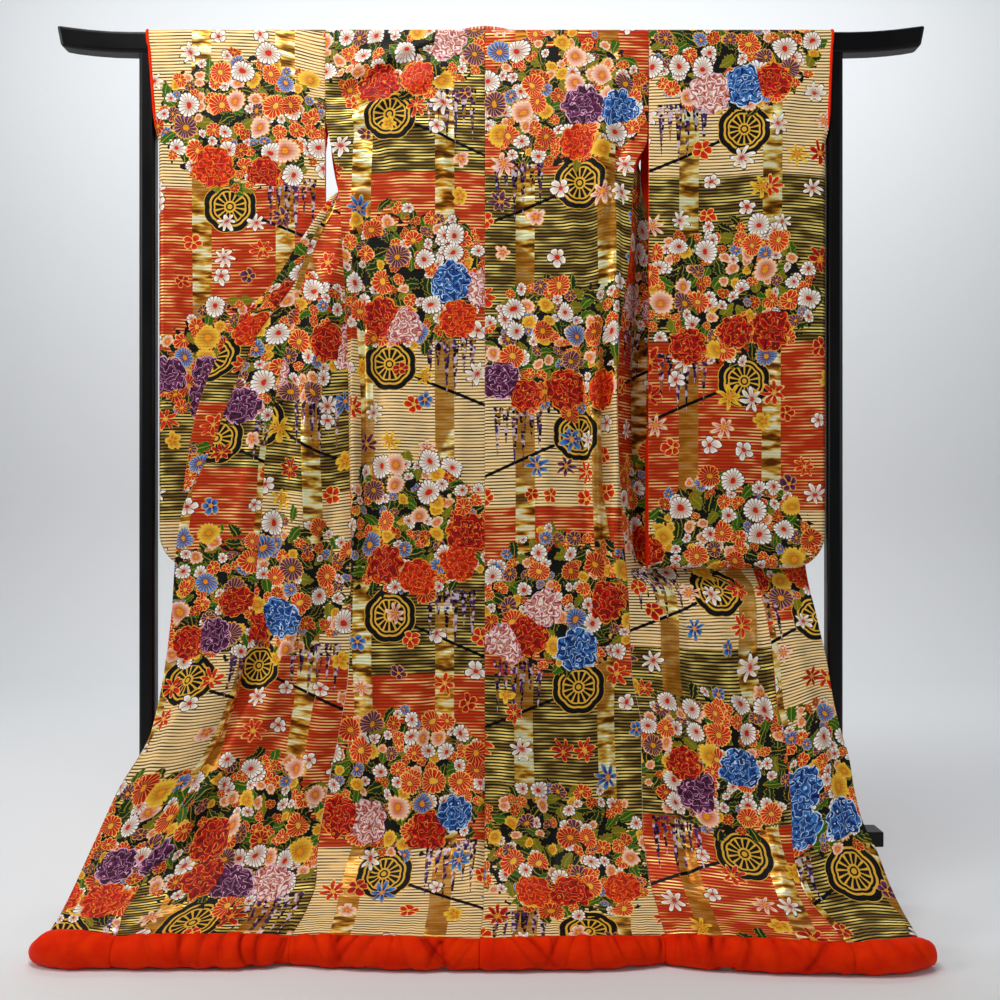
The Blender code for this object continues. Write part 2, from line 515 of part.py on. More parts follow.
def sleeve_points(side):
    """One length of cloth from the foot of the near layer, over the bar, to the foot of the far one."""
    inner, outer, at_bar = SLEEVES[side]
    sign = -1 if side == "left" else 1
    width = abs(outer - inner)
    flare = abs(at_bar - outer)
    near = SLEEVE_EDGE_ROUND
    shares = np.array([0.0, 0.14, 0.30, 0.47, 0.64, 0.80, 0.91])
    rows = []
    levels = list(SLEEVE_LEVELS)
    path = [(z, -1.0) for z in reversed(levels)]
    path += [(-row[0], -1.0) for row in reversed(OVER_BAR[:-1])]
    path += [(-row[0], 1.0) for row in OVER_BAR[1:-1]]
    path += [(z, 1.0) for z in levels]
    for value, layer in path:
        on_bar = value <= 0
        if on_bar:
            out, z = over_bar(-value)
            reach = width + flare * (1.0 - 0.2 * (-value) / 0.05)
            x = np.r_[shares * reach, reach * 0.965, reach * 0.987, reach]
            rows.append(np.c_[inner + sign * (x + SEAM_GAP / 2), layer * out + 0 * x, z + 0 * x])
            continue
        z = value
        corner = max(0.0, SLEEVE_FOOT + SLEEVE_CORNER - z)
        cut = SLEEVE_CORNER - math.sqrt(max(0.0, SLEEVE_CORNER**2 - corner**2))
        opening = np.clip((z - CUFF_END) / 0.02, 0.0, 1.0)
        top = np.clip((z - CUFF_END) / (1.69 - CUFF_END), 0.0, 1.0)
        reach = width - cut + flare * 0.8 * top
        inner_round = reach - near
        x = np.r_[shares / 0.91 * inner_round, reach - 0.45 * near, reach - 0.12 * near, reach]
        if z < SLEEVE_FOOT + SLEEVE_CORNER:
            distance = np.where(
                x > width - SLEEVE_CORNER,
                SLEEVE_CORNER - np.hypot(x - (width - SLEEVE_CORNER), corner),
                z - SLEEVE_FOOT,
            )
        else:
            distance = width - x
        distance = np.clip(distance, 0.0, near)
        round_off = np.sqrt(np.clip(1 - (1 - distance / near) ** 2, 0.0, 1.0))
        share = opening + (1 - opening) * round_off
        full = smooth_table(SLEEVE_FULLNESS, z)[0]
        offset = np.maximum(full * share, SEAM_GAP / 2)
        x_world = inner + sign * (x + SEAM_GAP / 2)
        folds = [
            (inner + sign * a * width, b, inner + sign * c * width, d, e, f)
            for a, b, c, d, e, f in SLEEVE_FOLDS
        ]
        fade = np.clip((1.65 - z) / 0.05, 0.0, 1.0) * np.clip(x / 0.03, 0.0, 1.0) * share
        bulge = fold_height(x_world, z + 0 * x, folds) * fade
        y = layer * (offset + (bulge if layer < 0 else 0.6 * bulge))
        rows.append(np.c_[x_world, y, z + 0 * x])
    return np.array(rows)


def curve_mesh(points, radii, resolution):
    """A tube along a line of points, as a bmesh."""
    curve = bpy.data.curves.new("line", "CURVE")
    curve.dimensions = "3D"
    curve.bevel_depth = 1.0
    curve.bevel_resolution = resolution
    curve.use_fill_caps = True
    curve.twist_mode = "Z_UP"
    spline = curve.splines.new("POLY")
    spline.points.add(len(points) - 1)
    for target, point, radius in zip(spline.points, points, radii):
        target.co = (*point, 1.0)
        target.radius = radius
    holder = bpy.data.objects.new("line", curve)
    bpy.context.scene.collection.objects.link(holder)
    graph = bpy.context.evaluated_depsgraph_get()
    mesh = bpy.data.meshes.new_from_object(holder.evaluated_get(graph))
    bm = bmesh.new()
    bm.from_mesh(mesh)
    bmesh.ops.remove_doubles(bm, verts=bm.verts[:], dist=1e-6)
    bmesh.ops.recalc_face_normals(bm, faces=bm.faces[:])
    bpy.data.meshes.remove(mesh)
    bpy.data.objects.remove(holder)
    bpy.data.curves.remove(curve)
    return bm


for old in list(bpy.data.objects):
    bpy.data.objects.remove(old, do_unlink=True)
KIMONO = new_collection("wedding_kimono_on_stand")
CUTTERS = new_collection("cutters", hidden=True)

# Lacquered stand: bar with upturned ends, two posts, a low rail that the posts pass
# through, and two feet
bar = block(
    (-BAR_HALF_LENGTH, -BAR_DEPTH / 2, BAR_BOTTOM), (BAR_HALF_LENGTH, BAR_DEPTH / 2, BAR_TOP)
)
cut_across(bar, [side * place for place, _ in BAR_END_RISE[:-1] for side in (-1, 1)], 0)
for vert in bar.verts:
    place = abs(vert.co.x)
    if place > BAR_HALF_LENGTH - 1e-4 and vert.co.z < (BAR_BOTTOM + BAR_TOP) / 2:
        vert.co.x *= 0.9905
    if place > BAR_END_RISE[0][0]:
        vert.co.z += float(smooth_table(BAR_END_RISE, place)[0])
bar_object = add_object("stand_top_bar", bar, LACQUER, 0.22)
bevel(bar_object, 0.006, 3)

for side, sign in (("left", -1), ("right", 1)):
    centre = sign * POST_CENTRE
    half = POST_WIDTH / 2
    post = block(
        (centre - half, -half, FOOT_HEIGHT + SEAM_GAP), (centre + half, half, BAR_BOTTOM - SEAM_GAP)
    )
    bmesh.ops.bevel(
        post,
        geom=[e for e in post.edges if abs(e.verts[0].co.z - e.verts[1].co.z) > 0.1],
        offset=0.008,
        segments=3,
        profile=0.5,
        affect="EDGES",
    )
    add_object("stand_post_" + side, post, LACQUER, 0.25)

    hole = block(
        (centre - half - SEAM_GAP, -half - SEAM_GAP, RAIL_BOTTOM - 0.02),
        (centre + half + SEAM_GAP, half + SEAM_GAP, RAIL_TOP + 0.02),
    )
    cutter = add_object("rail_hole_" + side, hole, LACQUER, collection=CUTTERS)
    cutter.display_type = "WIRE"
    cutter.hide_render = True

    foot = block(
        (centre - FOOT_WIDTH / 2, FOOT_FRONT, 0.0), (centre + FOOT_WIDTH / 2, FOOT_BACK, FOOT_HEIGHT)
    )
    cut_across(foot, (-0.13, -0.06, -0.03, 0.03, 0.07, 0.145), 1)
    for vert in foot.verts:
        if vert.co.z > 0.01:
            beyond = max(0.0, abs(vert.co.y) - 0.03)
            vert.co.z -= 0.020 * min(1.0, beyond / 0.15) ** 1.5
    foot_object = add_object("stand_foot_" + side, foot, LACQUER, 0.25)
    bevel(foot_object, 0.003, 2)

rail = block(
    (-RAIL_HALF_LENGTH, -RAIL_DEPTH / 2, RAIL_BOTTOM), (RAIL_HALF_LENGTH, RAIL_DEPTH / 2, RAIL_TOP)
)
rail_object = add_object("stand_low_rail", rail, LACQUER, 0.25)
bevel(rail_object, 0.0025, 2)
for cutter in list(CUTTERS.objects):
    cut = rail_object.modifiers.new(cutter.name, "BOOLEAN")
    cut.operation = "DIFFERENCE"
    cut.solver = "EXACT"
    cut.object = cutter

# Body: two backs, two fronts, two overlap strips and the collar in two halves that meet
# at the centre back
backs = {side: back_points(side) for side in ("left", "right")}
sleeves = {side: sleeve_points(side) for side in ("left", "right")}
fronts = {}
overlaps = {}
collars = {}
for side in ("left", "right"):
    panel, overlap, collar = front_pieces(side)
    for points in (panel, overlap, collar):
        front_settle(points, side)
    hem_edge(panel)
    hem_edge(overlap)
    sign = -1 if side == "left" else 1
    neck_rows = []
    for row in NECK_COLLAR:
        keys = [(CENTRE_BACK + sign * row[i], row[i + 1], row[i + 2]) for i in (0, 3, 6)]
        neck_rows.append(across(keys, 0, 2, 3, 0.0009, 0.0))
    neck_rows[0][:, 0] += sign * SEAM_GAP / 2
    fronts[side] = panel
    overlaps[side] = overlap
    collars[side] = np.concatenate([np.array(neck_rows), collar])

bar_rows = len(OVER_BAR) - 1
back_normals = {side: grid_normals(backs[side], 1) for side in backs}
front_normals = {}
overlap_normals = {}
collar_normals = {}
sleeve_normals = {}
for side, sign in (("left", -1), ("right", 1)):
    turn = sign
    front_normals[side] = grid_normals(fronts[side], turn)
    overlap_normals[side] = grid_normals(overlaps[side], turn)
    collar_normals[side] = grid_normals(collars[side], turn)
    sleeve_normals[side] = -grid_normals(sleeves[side], turn)
    first = FIRST_OVERLAP_LEVEL
    share_normals(front_normals[side][bar_rows + first :, -1], overlap_normals[side][:, 0])
    shared = sum(1 for level in LEVELS if level > 0.70)
    neck_count = len(NECK_COLLAR)
    share_normals(
        overlap_normals[side][: shared - first, -1],
        collar_normals[side][neck_count + first :, 0],
    )
    share_normals(
        front_normals[side][bar_rows : bar_rows + first, -1],
        collar_normals[side][neck_count : neck_count + first, 0],
    )
    seam = FIRST_SIDE_SEAM_LEVEL[side]
    outer = 0 if side == "left" else -1
    share_normals(
        front_normals[side][bar_rows + seam :, 0], back_normals[side][bar_rows + seam :, outer]
    )
share_normals(back_normals["left"][:, -1], back_normals["right"][:, 0])
share_normals(collar_normals["left"][0], collar_normals["right"][0])

for side in ("left", "right"):
    cloth_wall("back_" + side, backs[side], back_normals[side], GOLD_CLOTH)
    cloth_wall("front_" + side, fronts[side], front_normals[side], GOLD_CLOTH)
    cloth_wall("overlap_" + side, overlaps[side], overlap_normals[side], GOLD_CLOTH)
    cloth_wall("collar_" + side, collars[side], collar_normals[side], GOLD_CLOTH)
    cloth_wall("sleeve_" + side, sleeves[side], sleeve_normals[side], GOLD_CLOTH)

# Padded roll of the lining along the hem, one length to each panel
for name, start, stop in zip(ROLL_NODES, ROLL_SEAMS[:-1], ROLL_SEAMS[1:]):
    inside = [row[0] for row in ROLL if start + 0.004 < row[0] < stop - 0.004]
    first = start + (SEAM_GAP / 2 if start > ROLL_SEAMS[0] else 0.0)
    last = stop - (SEAM_GAP / 2 if stop < ROLL_SEAMS[-1] else 0.0)
    places = np.array([first, *inside, last])
    y, radius = smooth_table(ROLL, places).T
    line = [(x, v, min(r, 0.026)) for x, v, r in zip(places, y, radius)]
    tube = curve_mesh(line, radius, 4)
    for vert in tube.verts:
        vert.co.z = max(vert.co.z, 0.0)
        if abs(vert.co.x - first) < 0.012 and start > ROLL_SEAMS[0]:
            vert.co.x = first
        if abs(vert.co.x - last) < 0.012 and stop < ROLL_SEAMS[-1]:
            vert.co.x = last
    add_object(name, tube, LINING_RED, 0.5)
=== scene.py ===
import math

import bmesh
import bpy
import numpy as np
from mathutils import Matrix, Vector


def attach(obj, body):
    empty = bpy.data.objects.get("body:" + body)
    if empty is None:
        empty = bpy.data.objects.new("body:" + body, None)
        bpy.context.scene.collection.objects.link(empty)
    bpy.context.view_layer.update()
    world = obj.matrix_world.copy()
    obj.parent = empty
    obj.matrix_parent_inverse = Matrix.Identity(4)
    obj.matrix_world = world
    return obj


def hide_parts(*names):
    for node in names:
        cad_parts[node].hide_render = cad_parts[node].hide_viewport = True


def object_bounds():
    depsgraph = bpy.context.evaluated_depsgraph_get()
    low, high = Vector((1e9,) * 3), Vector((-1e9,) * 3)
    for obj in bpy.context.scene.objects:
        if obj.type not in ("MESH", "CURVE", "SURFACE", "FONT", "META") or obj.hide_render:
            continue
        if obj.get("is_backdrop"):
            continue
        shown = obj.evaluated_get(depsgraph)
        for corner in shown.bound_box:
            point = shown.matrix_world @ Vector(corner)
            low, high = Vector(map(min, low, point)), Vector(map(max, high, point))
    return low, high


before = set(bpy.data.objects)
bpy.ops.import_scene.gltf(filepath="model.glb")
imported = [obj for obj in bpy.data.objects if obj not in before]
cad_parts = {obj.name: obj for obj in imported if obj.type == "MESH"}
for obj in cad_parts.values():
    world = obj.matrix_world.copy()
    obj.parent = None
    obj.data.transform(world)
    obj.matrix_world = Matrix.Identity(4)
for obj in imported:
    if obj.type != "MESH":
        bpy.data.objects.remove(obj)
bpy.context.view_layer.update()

# Stand: two feet, two posts, a low rail and a bar with upturned ends, of planed wood under
# black lacquer. The posts stand in the feet and pass through the rail, and carry the bar.
BAR_SETBACK = 0.0662


class Measure:
    """A value at each point of a surface, which is reckoned with like a number."""

    def __init__(self, recipe, socket):
        self.recipe = recipe
        self.socket = socket

    def do(self, operation, *others):
        return self.recipe.sum(operation, self, *others)

    def __add__(self, other):
        return self.do("ADD", other)

    def __sub__(self, other):
        return self.do("SUBTRACT", other)

    def __rsub__(self, other):
        return self.recipe.sum("SUBTRACT", other, self)

    def __mul__(self, other):
        return self.do("MULTIPLY", other)

    def __truediv__(self, other):
        return self.do("DIVIDE", other)

    def __mod__(self, other):
        return self.do("FLOORED_MODULO", other)

    def __lt__(self, other):
        return self.do("LESS_THAN", other)

    def __gt__(self, other):
        return self.do("GREATER_THAN", other)

    def __or__(self, other):
        return self.do("MAXIMUM", other)

    def __ror__(self, other):
        return self.recipe.sum("MAXIMUM", other, self)

    def __abs__(self):
        return self.do("ABSOLUTE")

    def scaled(self, factor, offset):
        return self.do("MULTIPLY_ADD", factor, offset)

    def near(self, middle, reach):
        return self.do("COMPARE", middle, reach)

    def blend(self, first, second):
        """The first colour where this is 0 and the second where it is 1."""
        return self.recipe.take("Mix", {0: self, 6: first, 7: second}, output=2, data_type="RGBA")

    def span(self, low, high, to_low=0.0, to_high=1.0):
        """The range from low to high, stretched to another range and held there."""
        return self.recipe.take("MapRange", {0: self, 1: low, 2: high, 3: to_low, 4: to_high})

    def choose(self, stops, smooth=False):
        """The colour of the last stop that this has passed."""
        made = self.recipe.node("ValToRGB", {0: self})
        made.color_ramp.interpolation = "LINEAR" if smooth else "CONSTANT"
        while len(made.color_ramp.elements) < len(stops):
            made.color_ramp.elements.new(0.5)
        for element, (place, colour) in zip(made.color_ramp.elements, stops):
            element.position = place
            element.color = colour
        return Measure(self.recipe, made.outputs[0])

    def dyed(self, *rows, smooth=False):
        """Like choose, with each stop a place and a dye's red, green and blue."""
        return self.choose([(row[0], dye(*row[1:])) for row in rows], smooth)


class Recipe:
    """A material that is put together step by step from nodes."""

    def __init__(self, name, **sockets):
        self.made = bpy.data.materials.new(name)
        self.made.use_nodes = True
        self.tree = self.made.node_tree
        self.shader = self.tree.nodes["Principled BSDF"]
        self.finish(**sockets)

    def finish(self, **sockets):
        for socket, value in sockets.items():
            self.feed(self.shader.inputs[socket.replace("_", " ")], value)
        return self.made

    def feed(self, target, value):
        if isinstance(value, Measure):
            self.tree.links.new(value.socket, target)
        else:
            target.default_value = value

    def node(self, kind, inputs=None, **settings):
        made = self.tree.nodes.new("ShaderNode" + kind)
        for key, value in settings.items():
            setattr(made, key, value)
        for key, value in (inputs or {}).items():
            self.feed(made.inputs[key], value)
        return made

    def take(self, kind, inputs=None, output=0, **settings):
        """One output of a new node."""
        return Measure(self, self.node(kind, inputs, **settings).outputs[output])

    def parts(self, value, kind="SeparateXYZ"):
        return [Measure(self, output) for output in self.node(kind, {0: value}).outputs]

    def sum(self, operation, *values):
        return self.take("Math", dict(enumerate(values)), operation=operation)

    def vector(self, operation, *values):
        output = 1 if operation == "LENGTH" else 0
        return self.take("VectorMath", dict(enumerate(values)), output, operation=operation)

    def noise(self, place, scale, detail, dimensions="2D", output=0):
        inputs = {"Vector": place, "Scale": scale, "Detail": detail}
        return self.take("TexNoise", inputs, output, noise_dimensions=dimensions)

    def cells(self, place, scale, jitter):
        """Scattered spots: how far the nearest one is, its chance colour and its place."""
        inputs = {"Vector": place, "Scale": scale, "Randomness": jitter}
        made = self.node("TexVoronoi", inputs, voronoi_dimensions="2D")
        return [Measure(self, made.outputs[name]) for name in ("Distance", "Color", "Position")]

    def relief(self, height, depth, strength):
        inputs = {"Height": height, "Strength": strength, "Distance": depth}
        self.finish(Normal=self.take("Bump", inputs))


def dye(red, green, blue):
    """A colour as it looks on a dye card, 0 to 255, made linear."""
    shades = (red, green, blue)
    return (*[((v / 255 + 0.055) / 1.055) ** 2.4 if v > 10 else v / 3295 for v in shades], 1.0)


lacquer = Recipe("black_lacquer", IOR=1.30, Coat_Weight=0.05, Coat_Roughness=0.16)
spot = lacquer.take("TexCoord", output="Object")
cloudy = lacquer.noise(spot, 7.0, 4.0, "3D")
dust = cloudy.span(0.45, 0.75) * lacquer.noise(spot, 160.0, 2.0, "3D").span(0.4, 0.8)
lacquer.relief(cloudy, 0.0006, 0.5)
lacquer.finish(
    Base_Color=dust.blend(dye(4, 4, 6), dye(16, 15, 15)),
    Roughness=cloudy.span(0.3, 0.7, 0.30, 0.42),
)

for member in ("foot_left", "foot_right", "post_left", "post_right", "low_rail", "top_bar"):
    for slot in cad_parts["stand_" + member].material_slots:
        slot.material = lacquer.made

# Back of the robe: two lengths of gold brocade joined down the middle, from the shoulder
# line over the bar down to the hem. The cloth is lined with red silk on its inner side.
CENTRE_BACK = -0.0115
BACK_WIDTH = 0.31
SEAM_GAP = 0.00012
SEAM_DIP = 0.0011
SEAM_DIP_REACH = 0.0042
CLOTH_THICKNESS = 0.0022
ROW_STEP = 0.0068
COLUMN_STEP = 0.0062


def metres(*rows):
    """A table that is written in millimetres."""
    return np.array(rows) / 1000


# Length down from the shoulder line, distance out and height
OVER_BAR = metres(
    (0, 0, 1702.2),
    (10, 10, 1702),
    (14.1, 13.9, 1701),
    (17.6, 16.8, 1699),
    (20.7, 18.7, 1696.5),
    (24.3, 19.7, 1693),
    (50.4, 20.3, 1667),
)
OVER_BAR_ROWS = (0.0, 0.004, 0.008, 0.011, 0.014, 0.017, 0.0205, 0.0243)
BELOW_BAR_ROWS = (0.031, 0.038, 0.044)
NECK_HALF_WIDTH = 0.0765
NECK_DROP = 0.014
SHOULDER_EDGE = {"left": -0.3210, "right": 0.3060}
# Height, left side x y, left middle y, centre seam y, right middle y, right side x y
BACK = metres(
    (1667, -321, -20.3, -21, -21, -21, 306, -20.3),
    (1620, -321, -21.2, -23.5, -22.5, -23.5, 306, -21.2),
    (1530, -320, -23, -27, -25.5, -27, 305, -23),
    (1480, -311, -25, -28.5, -27, -28, 302, -24),
    (1433, -301, -27.5, -30, -28, -29.5, 278, -29),
    (1366, -291.5, -30, -32, -29.5, -31.5, 273, -31),
    (1269, -286, -31, -35, -30.5, -34.5, 268.5, -31.5),
    (1115, -278, -32, -37, -31.5, -36.5, 249, -32),
    (980, -274, -32, -37, -32, -36, 243, -32),
    (883, -272, -32, -36.5, -32, -35.5, 245, -32),
    (748, -269, -32.5, -36, -32, -35, 253, -32.5),
    (594, -269.5, -33, -37, -33, -36, 265, -33.5),
    (453, -274, -35.5, -39, -35, -38.5, 271.5, -36),
    (350, -289, -43, -44, -42, -44, 288, -42),
    (250, -307, -64, -62, -60, -62, 287, -60),
    (180, -316.5, -87, -80, -77, -80, 286, -80),
    (131, -319, -115, -105, -100, -105, 286.5, -108),
    (90, -315, -155, -153, -148, -153, 290, -150),
    (62, -323, -202, -202, -200, -202, 296, -200),
    (44.5, -338, -250, -250, -250, -250, 300, -250),
)
# Padded roll that the hem is sewn to: x, y and radius of its middle line
ROLL = metres(
    (-779, -256, 7),
    (-769, -262, 16.5),
    (-750, -271, 25.5),
    (-725, -276.5, 30.5),
    (-700, -280, 31),
    (-660, -282.6, 28),
    (-627, -284, 25),
    (-560, -285, 27),
    (-450, -283, 27),
    (-390, -280, 26.2),
    (-335, -270, 22.5),
    (-280, -278, 25.2),
    (-180, -288, 26.2),
    (-16, -292, 24.5),
    (120, -290, 26.2),
    (230, -283, 25.2),
    (295, -270, 22.5),
    (350, -285, 26.2),
    (450, -298, 26.5),
    (597, -308, 24.5),
    (660, -306, 26.5),
    (710, -294, 26.5),
    (735, -278, 21.5),
    (744, -268, 13),
)
ROLL_LOW = 0.020
ROLL_TOP = 0.027
HEM_SEAM_ANGLE = math.radians(42)
HEM_SEAM_GAP = 0.0001
# Height below which the cloth is eased down to the roll
HEM_EASE_TOP = 0.066
PUCKERS = 96
FIRST_PUCKER = -0.775
# Broad folds: x z of the top, x z of the foot, half width, height towards the viewer
BODY_FOLDS = metres(
    (-300, 1300, -318, 1080, 22, 18),
    (-262, 1360, -268, 950, 16, -8),
    (-345, 1050, -395, 620, 40, 10),
    (-380, 900, -470, 380, 32, -9),
    (-455, 560, -640, 180, 38, 18),
    (-400, 360, -540, 150, 34, -15),
    (-310, 420, -390, 130, 30, 14),
    (-240, 1640, -150, 1300, 28, 6),
    (-140, 420, -170, 110, 34, 12),
    (-60, 340, -70, 110, 30, -9),
    (60, 360, 70, 120, 32, 9),
    (165, 460, 190, 120, 34, 11),
    (205, 1000, 225, 520, 24, 10),
    (180, 1600, 235, 1200, 28, 7),
    (375, 500, 430, 160, 36, 15),
    (480, 520, 500, 150, 30, -11),
    (600, 420, 640, 160, 30, 12),
)
# Finer creases in the same terms, which the hanging weight and the bar draw in the cloth
CREASE_SCALE = 2.3
BACK_CREASES = metres(
    (-318, 1600, -90, 1686, 10, 3.4),
    (-312, 1560, -110, 1660, 10, -3.4),
    (-300, 1500, -100, 1620, 12, 3.6),
    (-264, 1370, -262, 600, 8.5, 8.5),
    (-246, 1350, -247, 640, 7, -6.5),
    (240, 1390, 236, 600, 8.5, 8.5),
    (219, 1330, 217, 660, 7.5, -7),
    (196, 1200, 204, 640, 9, 6),
    (-275, 1655, -120, 1520, 10, 3),
    (-300, 1620, -190, 1400, 12, -3),
    (-235, 1560, -60, 1470, 11, 2.2),
    (-120, 1640, -70, 1250, 14, 2.4),
    (-245, 1300, -238, 800, 11, 4.2),
    (-215, 1180, -222, 560, 12, -3.8),
    (-180, 980, -196, 420, 14, 3.4),
    (-128, 1260, -120, 700, 15, -2.6),
    (-62, 1080, -58, 520, 16, 2.8),
    (58, 1420, 66, 900, 15, -2.6),
    (98, 1180, 110, 560, 13, 3.4),
    (138, 1560, 175, 1120, 12, 3.6),
    (172, 1250, 186, 640, 11, -4.2),
    (214, 1480, 222, 980, 10, 4.8),
    (232, 1200, 228, 600, 9, -4.4),
    (256, 1640, 190, 1420, 12, 3.2),
    (275, 1580, 235, 1380, 10, -3),
    (150, 700, 128, 330, 16, 4),
    (50, 520, 30, 200, 14, 4.6),
    (-100, 560, -118, 240, 15, -4.4),
    (-230, 480, -262, 150, 14, 5.2),
    (235, 520, 250, 170, 14, -5),
    (-20, 260, -30, 90, 12, 5),
    (112, 250, 122, 85, 12, -5),
    (-200, 260, -214, 90, 12, -5),
)


def clamp(share):
    """Held between nothing and all."""
    return np.clip(share, 0.0, 1.0)


def smooth_table(table, places):
    """Each column at these places, on a smooth curve through the rows that never overshoots."""
    rows = np.array(table, float)
    rows = rows[np.argsort(rows[:, 0])]
    at = rows[:, 0]
    values = rows[:, 1:]
    step = np.diff(at)[:, None]
    slope = np.diff(values, axis=0) / step
    tangent = np.zeros_like(values)
    same = slope[:-1] * slope[1:] > 0
    total = np.where(same, slope[:-1] + slope[1:], 1.0)
    tangent[1:-1] = np.where(same, 2 * slope[:-1] * slope[1:] / total, 0.0)
    tangent[0] = slope[0]
    tangent[-1] = slope[-1]
    places = np.clip(np.asarray(places, float), at[0], at[-1])
    i = np.clip(np.searchsorted(at, places) - 1, 0, len(at) - 2)
    u = ((places - at[i]) / (at[i + 1] - at[i]))[..., None]
    h = step[i]
    return (
        values[i] * (2 * u**3 - 3 * u**2 + 1)
        + tangent[i] * h * (u**3 - 2 * u**2 + u)
        + values[i + 1] * (3 * u**2 - 2 * u**3)
        + tangent[i + 1] * h * (u**3 - u**2)
    )


def over_bar(length):
    """Distance out and height of the cloth at this length down from the shoulder line."""
    return smooth_table(OVER_BAR, length)


def row_heights():
    """Heights of the closely set rows below the bar, an even step apart along the cloth."""
    guide = np.linspace(BACK[0][0], BACK[-1][0], 4000)
    depth = smooth_table(BACK, guide)[:, 3]
    length = np.r_[0.0, np.cumsum(np.hypot(np.diff(guide), np.diff(depth)))]
    count = math.ceil(length[-1] / ROW_STEP)
    return np.interp(np.linspace(0.0, length[-1], count + 1), length, guide)


HEIGHTS = row_heights()


def columns(width):
    """Shares of a panel's width, closer together at its two seams."""
    share = np.linspace(0.0, 1.0, max(4, round(width / COLUMN_STEP)) + 1)
    return share - 0.62 * np.sin(2 * math.pi * share) / (2 * math.pi)


def across(keys, first, last, share, inset_first, inset_last):
    """Points along one row of cloth from one key to another, on a curve through all the keys."""
    keys = np.asarray(keys, float)
    length = np.r_[0.0, np.cumsum(np.linalg.norm(np.diff(keys, axis=0), axis=1))]
    keep = np.r_[True, np.diff(length) > 1e-6]
    start = length[first] + inset_first
    stop = length[last] - inset_last
    return smooth_table(np.c_[length[keep], keys[keep]], start + share * (stop - start))


def fold_height(x, z, folds):
    """How far the folds push the cloth out towards the viewer at this place."""
    total = np.zeros_like(np.asarray(x, float))
    for x0, z0, x1, z1, width, height in folds:
        run = np.array([x1 - x0, z1 - z0])
        size = np.hypot(*run)
        along = ((x - x0) * run[0] + (z - z0) * run[1]) / size
        aside = ((x - x0) * run[1] - (z - z0) * run[0]) / size
        beyond = np.maximum(0.0, np.maximum(-along, along - size))
        middle = clamp(along / size)
        swell = 0.35 + 0.65 * np.sin(np.pi * middle)
        reach = np.exp(-((aside / width) ** 2) - (beyond / (1.6 * width)) ** 2)
        total += height * swell * reach
    return total


def roll_height(radius):
    """Height of the roll's middle line: it lies on the floor, and its thin ends point off it."""
    return np.clip(radius, ROLL_LOW, ROLL_TOP)


def hem_line(x):
    """Y and z of the seam between cloth and padded roll."""
    y, radius = smooth_table(ROLL, x).T
    reach = radius + CLOTH_THICKNESS / 2 + HEM_SEAM_GAP
    return (
        y + reach * math.cos(HEM_SEAM_ANGLE),
        roll_height(radius) + reach * math.sin(HEM_SEAM_ANGLE),
    )


def meet_roll(points):
    """Brings the last rows down to the padded roll."""
    y, z = hem_line(points[-1, :, 0])
    share = clamp((HEM_EASE_TOP - points[..., 2]) / (HEM_EASE_TOP - BACK[-1][0]))
    points[..., 1] += share * (y - points[-1, :, 1])
    points[..., 2] += share * (z - points[-1, :, 2])
    return points


def outward(points, side):
    """Unit normals of a grid of points, on the brocade side."""
    down, right = np.gradient(points, axis=(0, 1))
    normals = np.cross(down, right) * side
    return normals / np.maximum(np.linalg.norm(normals, axis=2, keepdims=True), 1e-9)


def lengths_of(points):
    """How far each point lies across its panel and down it, along the cloth."""
    right = np.linalg.norm(np.diff(points, axis=1), axis=2)
    down = np.linalg.norm(np.diff(points, axis=0), axis=2)
    across_cloth = np.c_[np.zeros(len(points)), np.cumsum(right, axis=1)]
    down_cloth = np.r_[[np.zeros(points.shape[1])], np.cumsum(down, axis=0)]
    return across_cloth, down_cloth


def seam_dip(away):
    """How far the thread draws the cloth in, at this distance away from a seam."""
    return SEAM_DIP * np.exp(-((away / SEAM_DIP_REACH) ** 2))


def puckers(points, down):
    """Small uneven puckers where the cloth is eased on to the padded roll."""
    x = points[..., 0]
    left = down[-1:] - down
    total = np.zeros_like(x)
    for k in range(PUCKERS):
        middle = FIRST_PUCKER + 0.0158 * k + 0.005 * math.sin(2.4 * k)
        width = 0.0034 + 0.0016 * math.sin(1.7 * k + 1)
        reach = 0.030 + 0.026 * math.sin(3.1 * k + 0.5) ** 2
        height = 0.0012 + 0.0010 * math.sin(5.3 * k) ** 2
        lean = middle + 0.10 * math.sin(1.3 * k) * left
        total += height * np.exp(-(((x - lean) / width) ** 2) - (left / reach) ** 2)
    return total


def settle(points, side, creases, shown):
    """Presses in the folds, the creases, the puckers and the dips along the seams."""
    meet_roll(points)
    z = points[..., 2]
    low = clamp((z - 0.06) / 0.08)
    points[..., 1] -= shown * low * fold_height(points[..., 0], z, BODY_FOLDS)
    normals = outward(points, side)
    across_cloth, down = lengths_of(points)
    edge = np.minimum(across_cloth, across_cloth[:, -1:] - across_cloth)
    push = CREASE_SCALE * fold_height(points[..., 0], z, creases) * clamp((z - 0.05) / 0.05)
    push += puckers(points, down) * clamp((0.30 - z) / 0.1)
    push -= seam_dip(edge)
    free = clamp((down[-1:] - down) / 0.012)
    points += normals * (push * free * np.clip(edge / 0.004, 0.25, 1.0))[..., None]
    return points


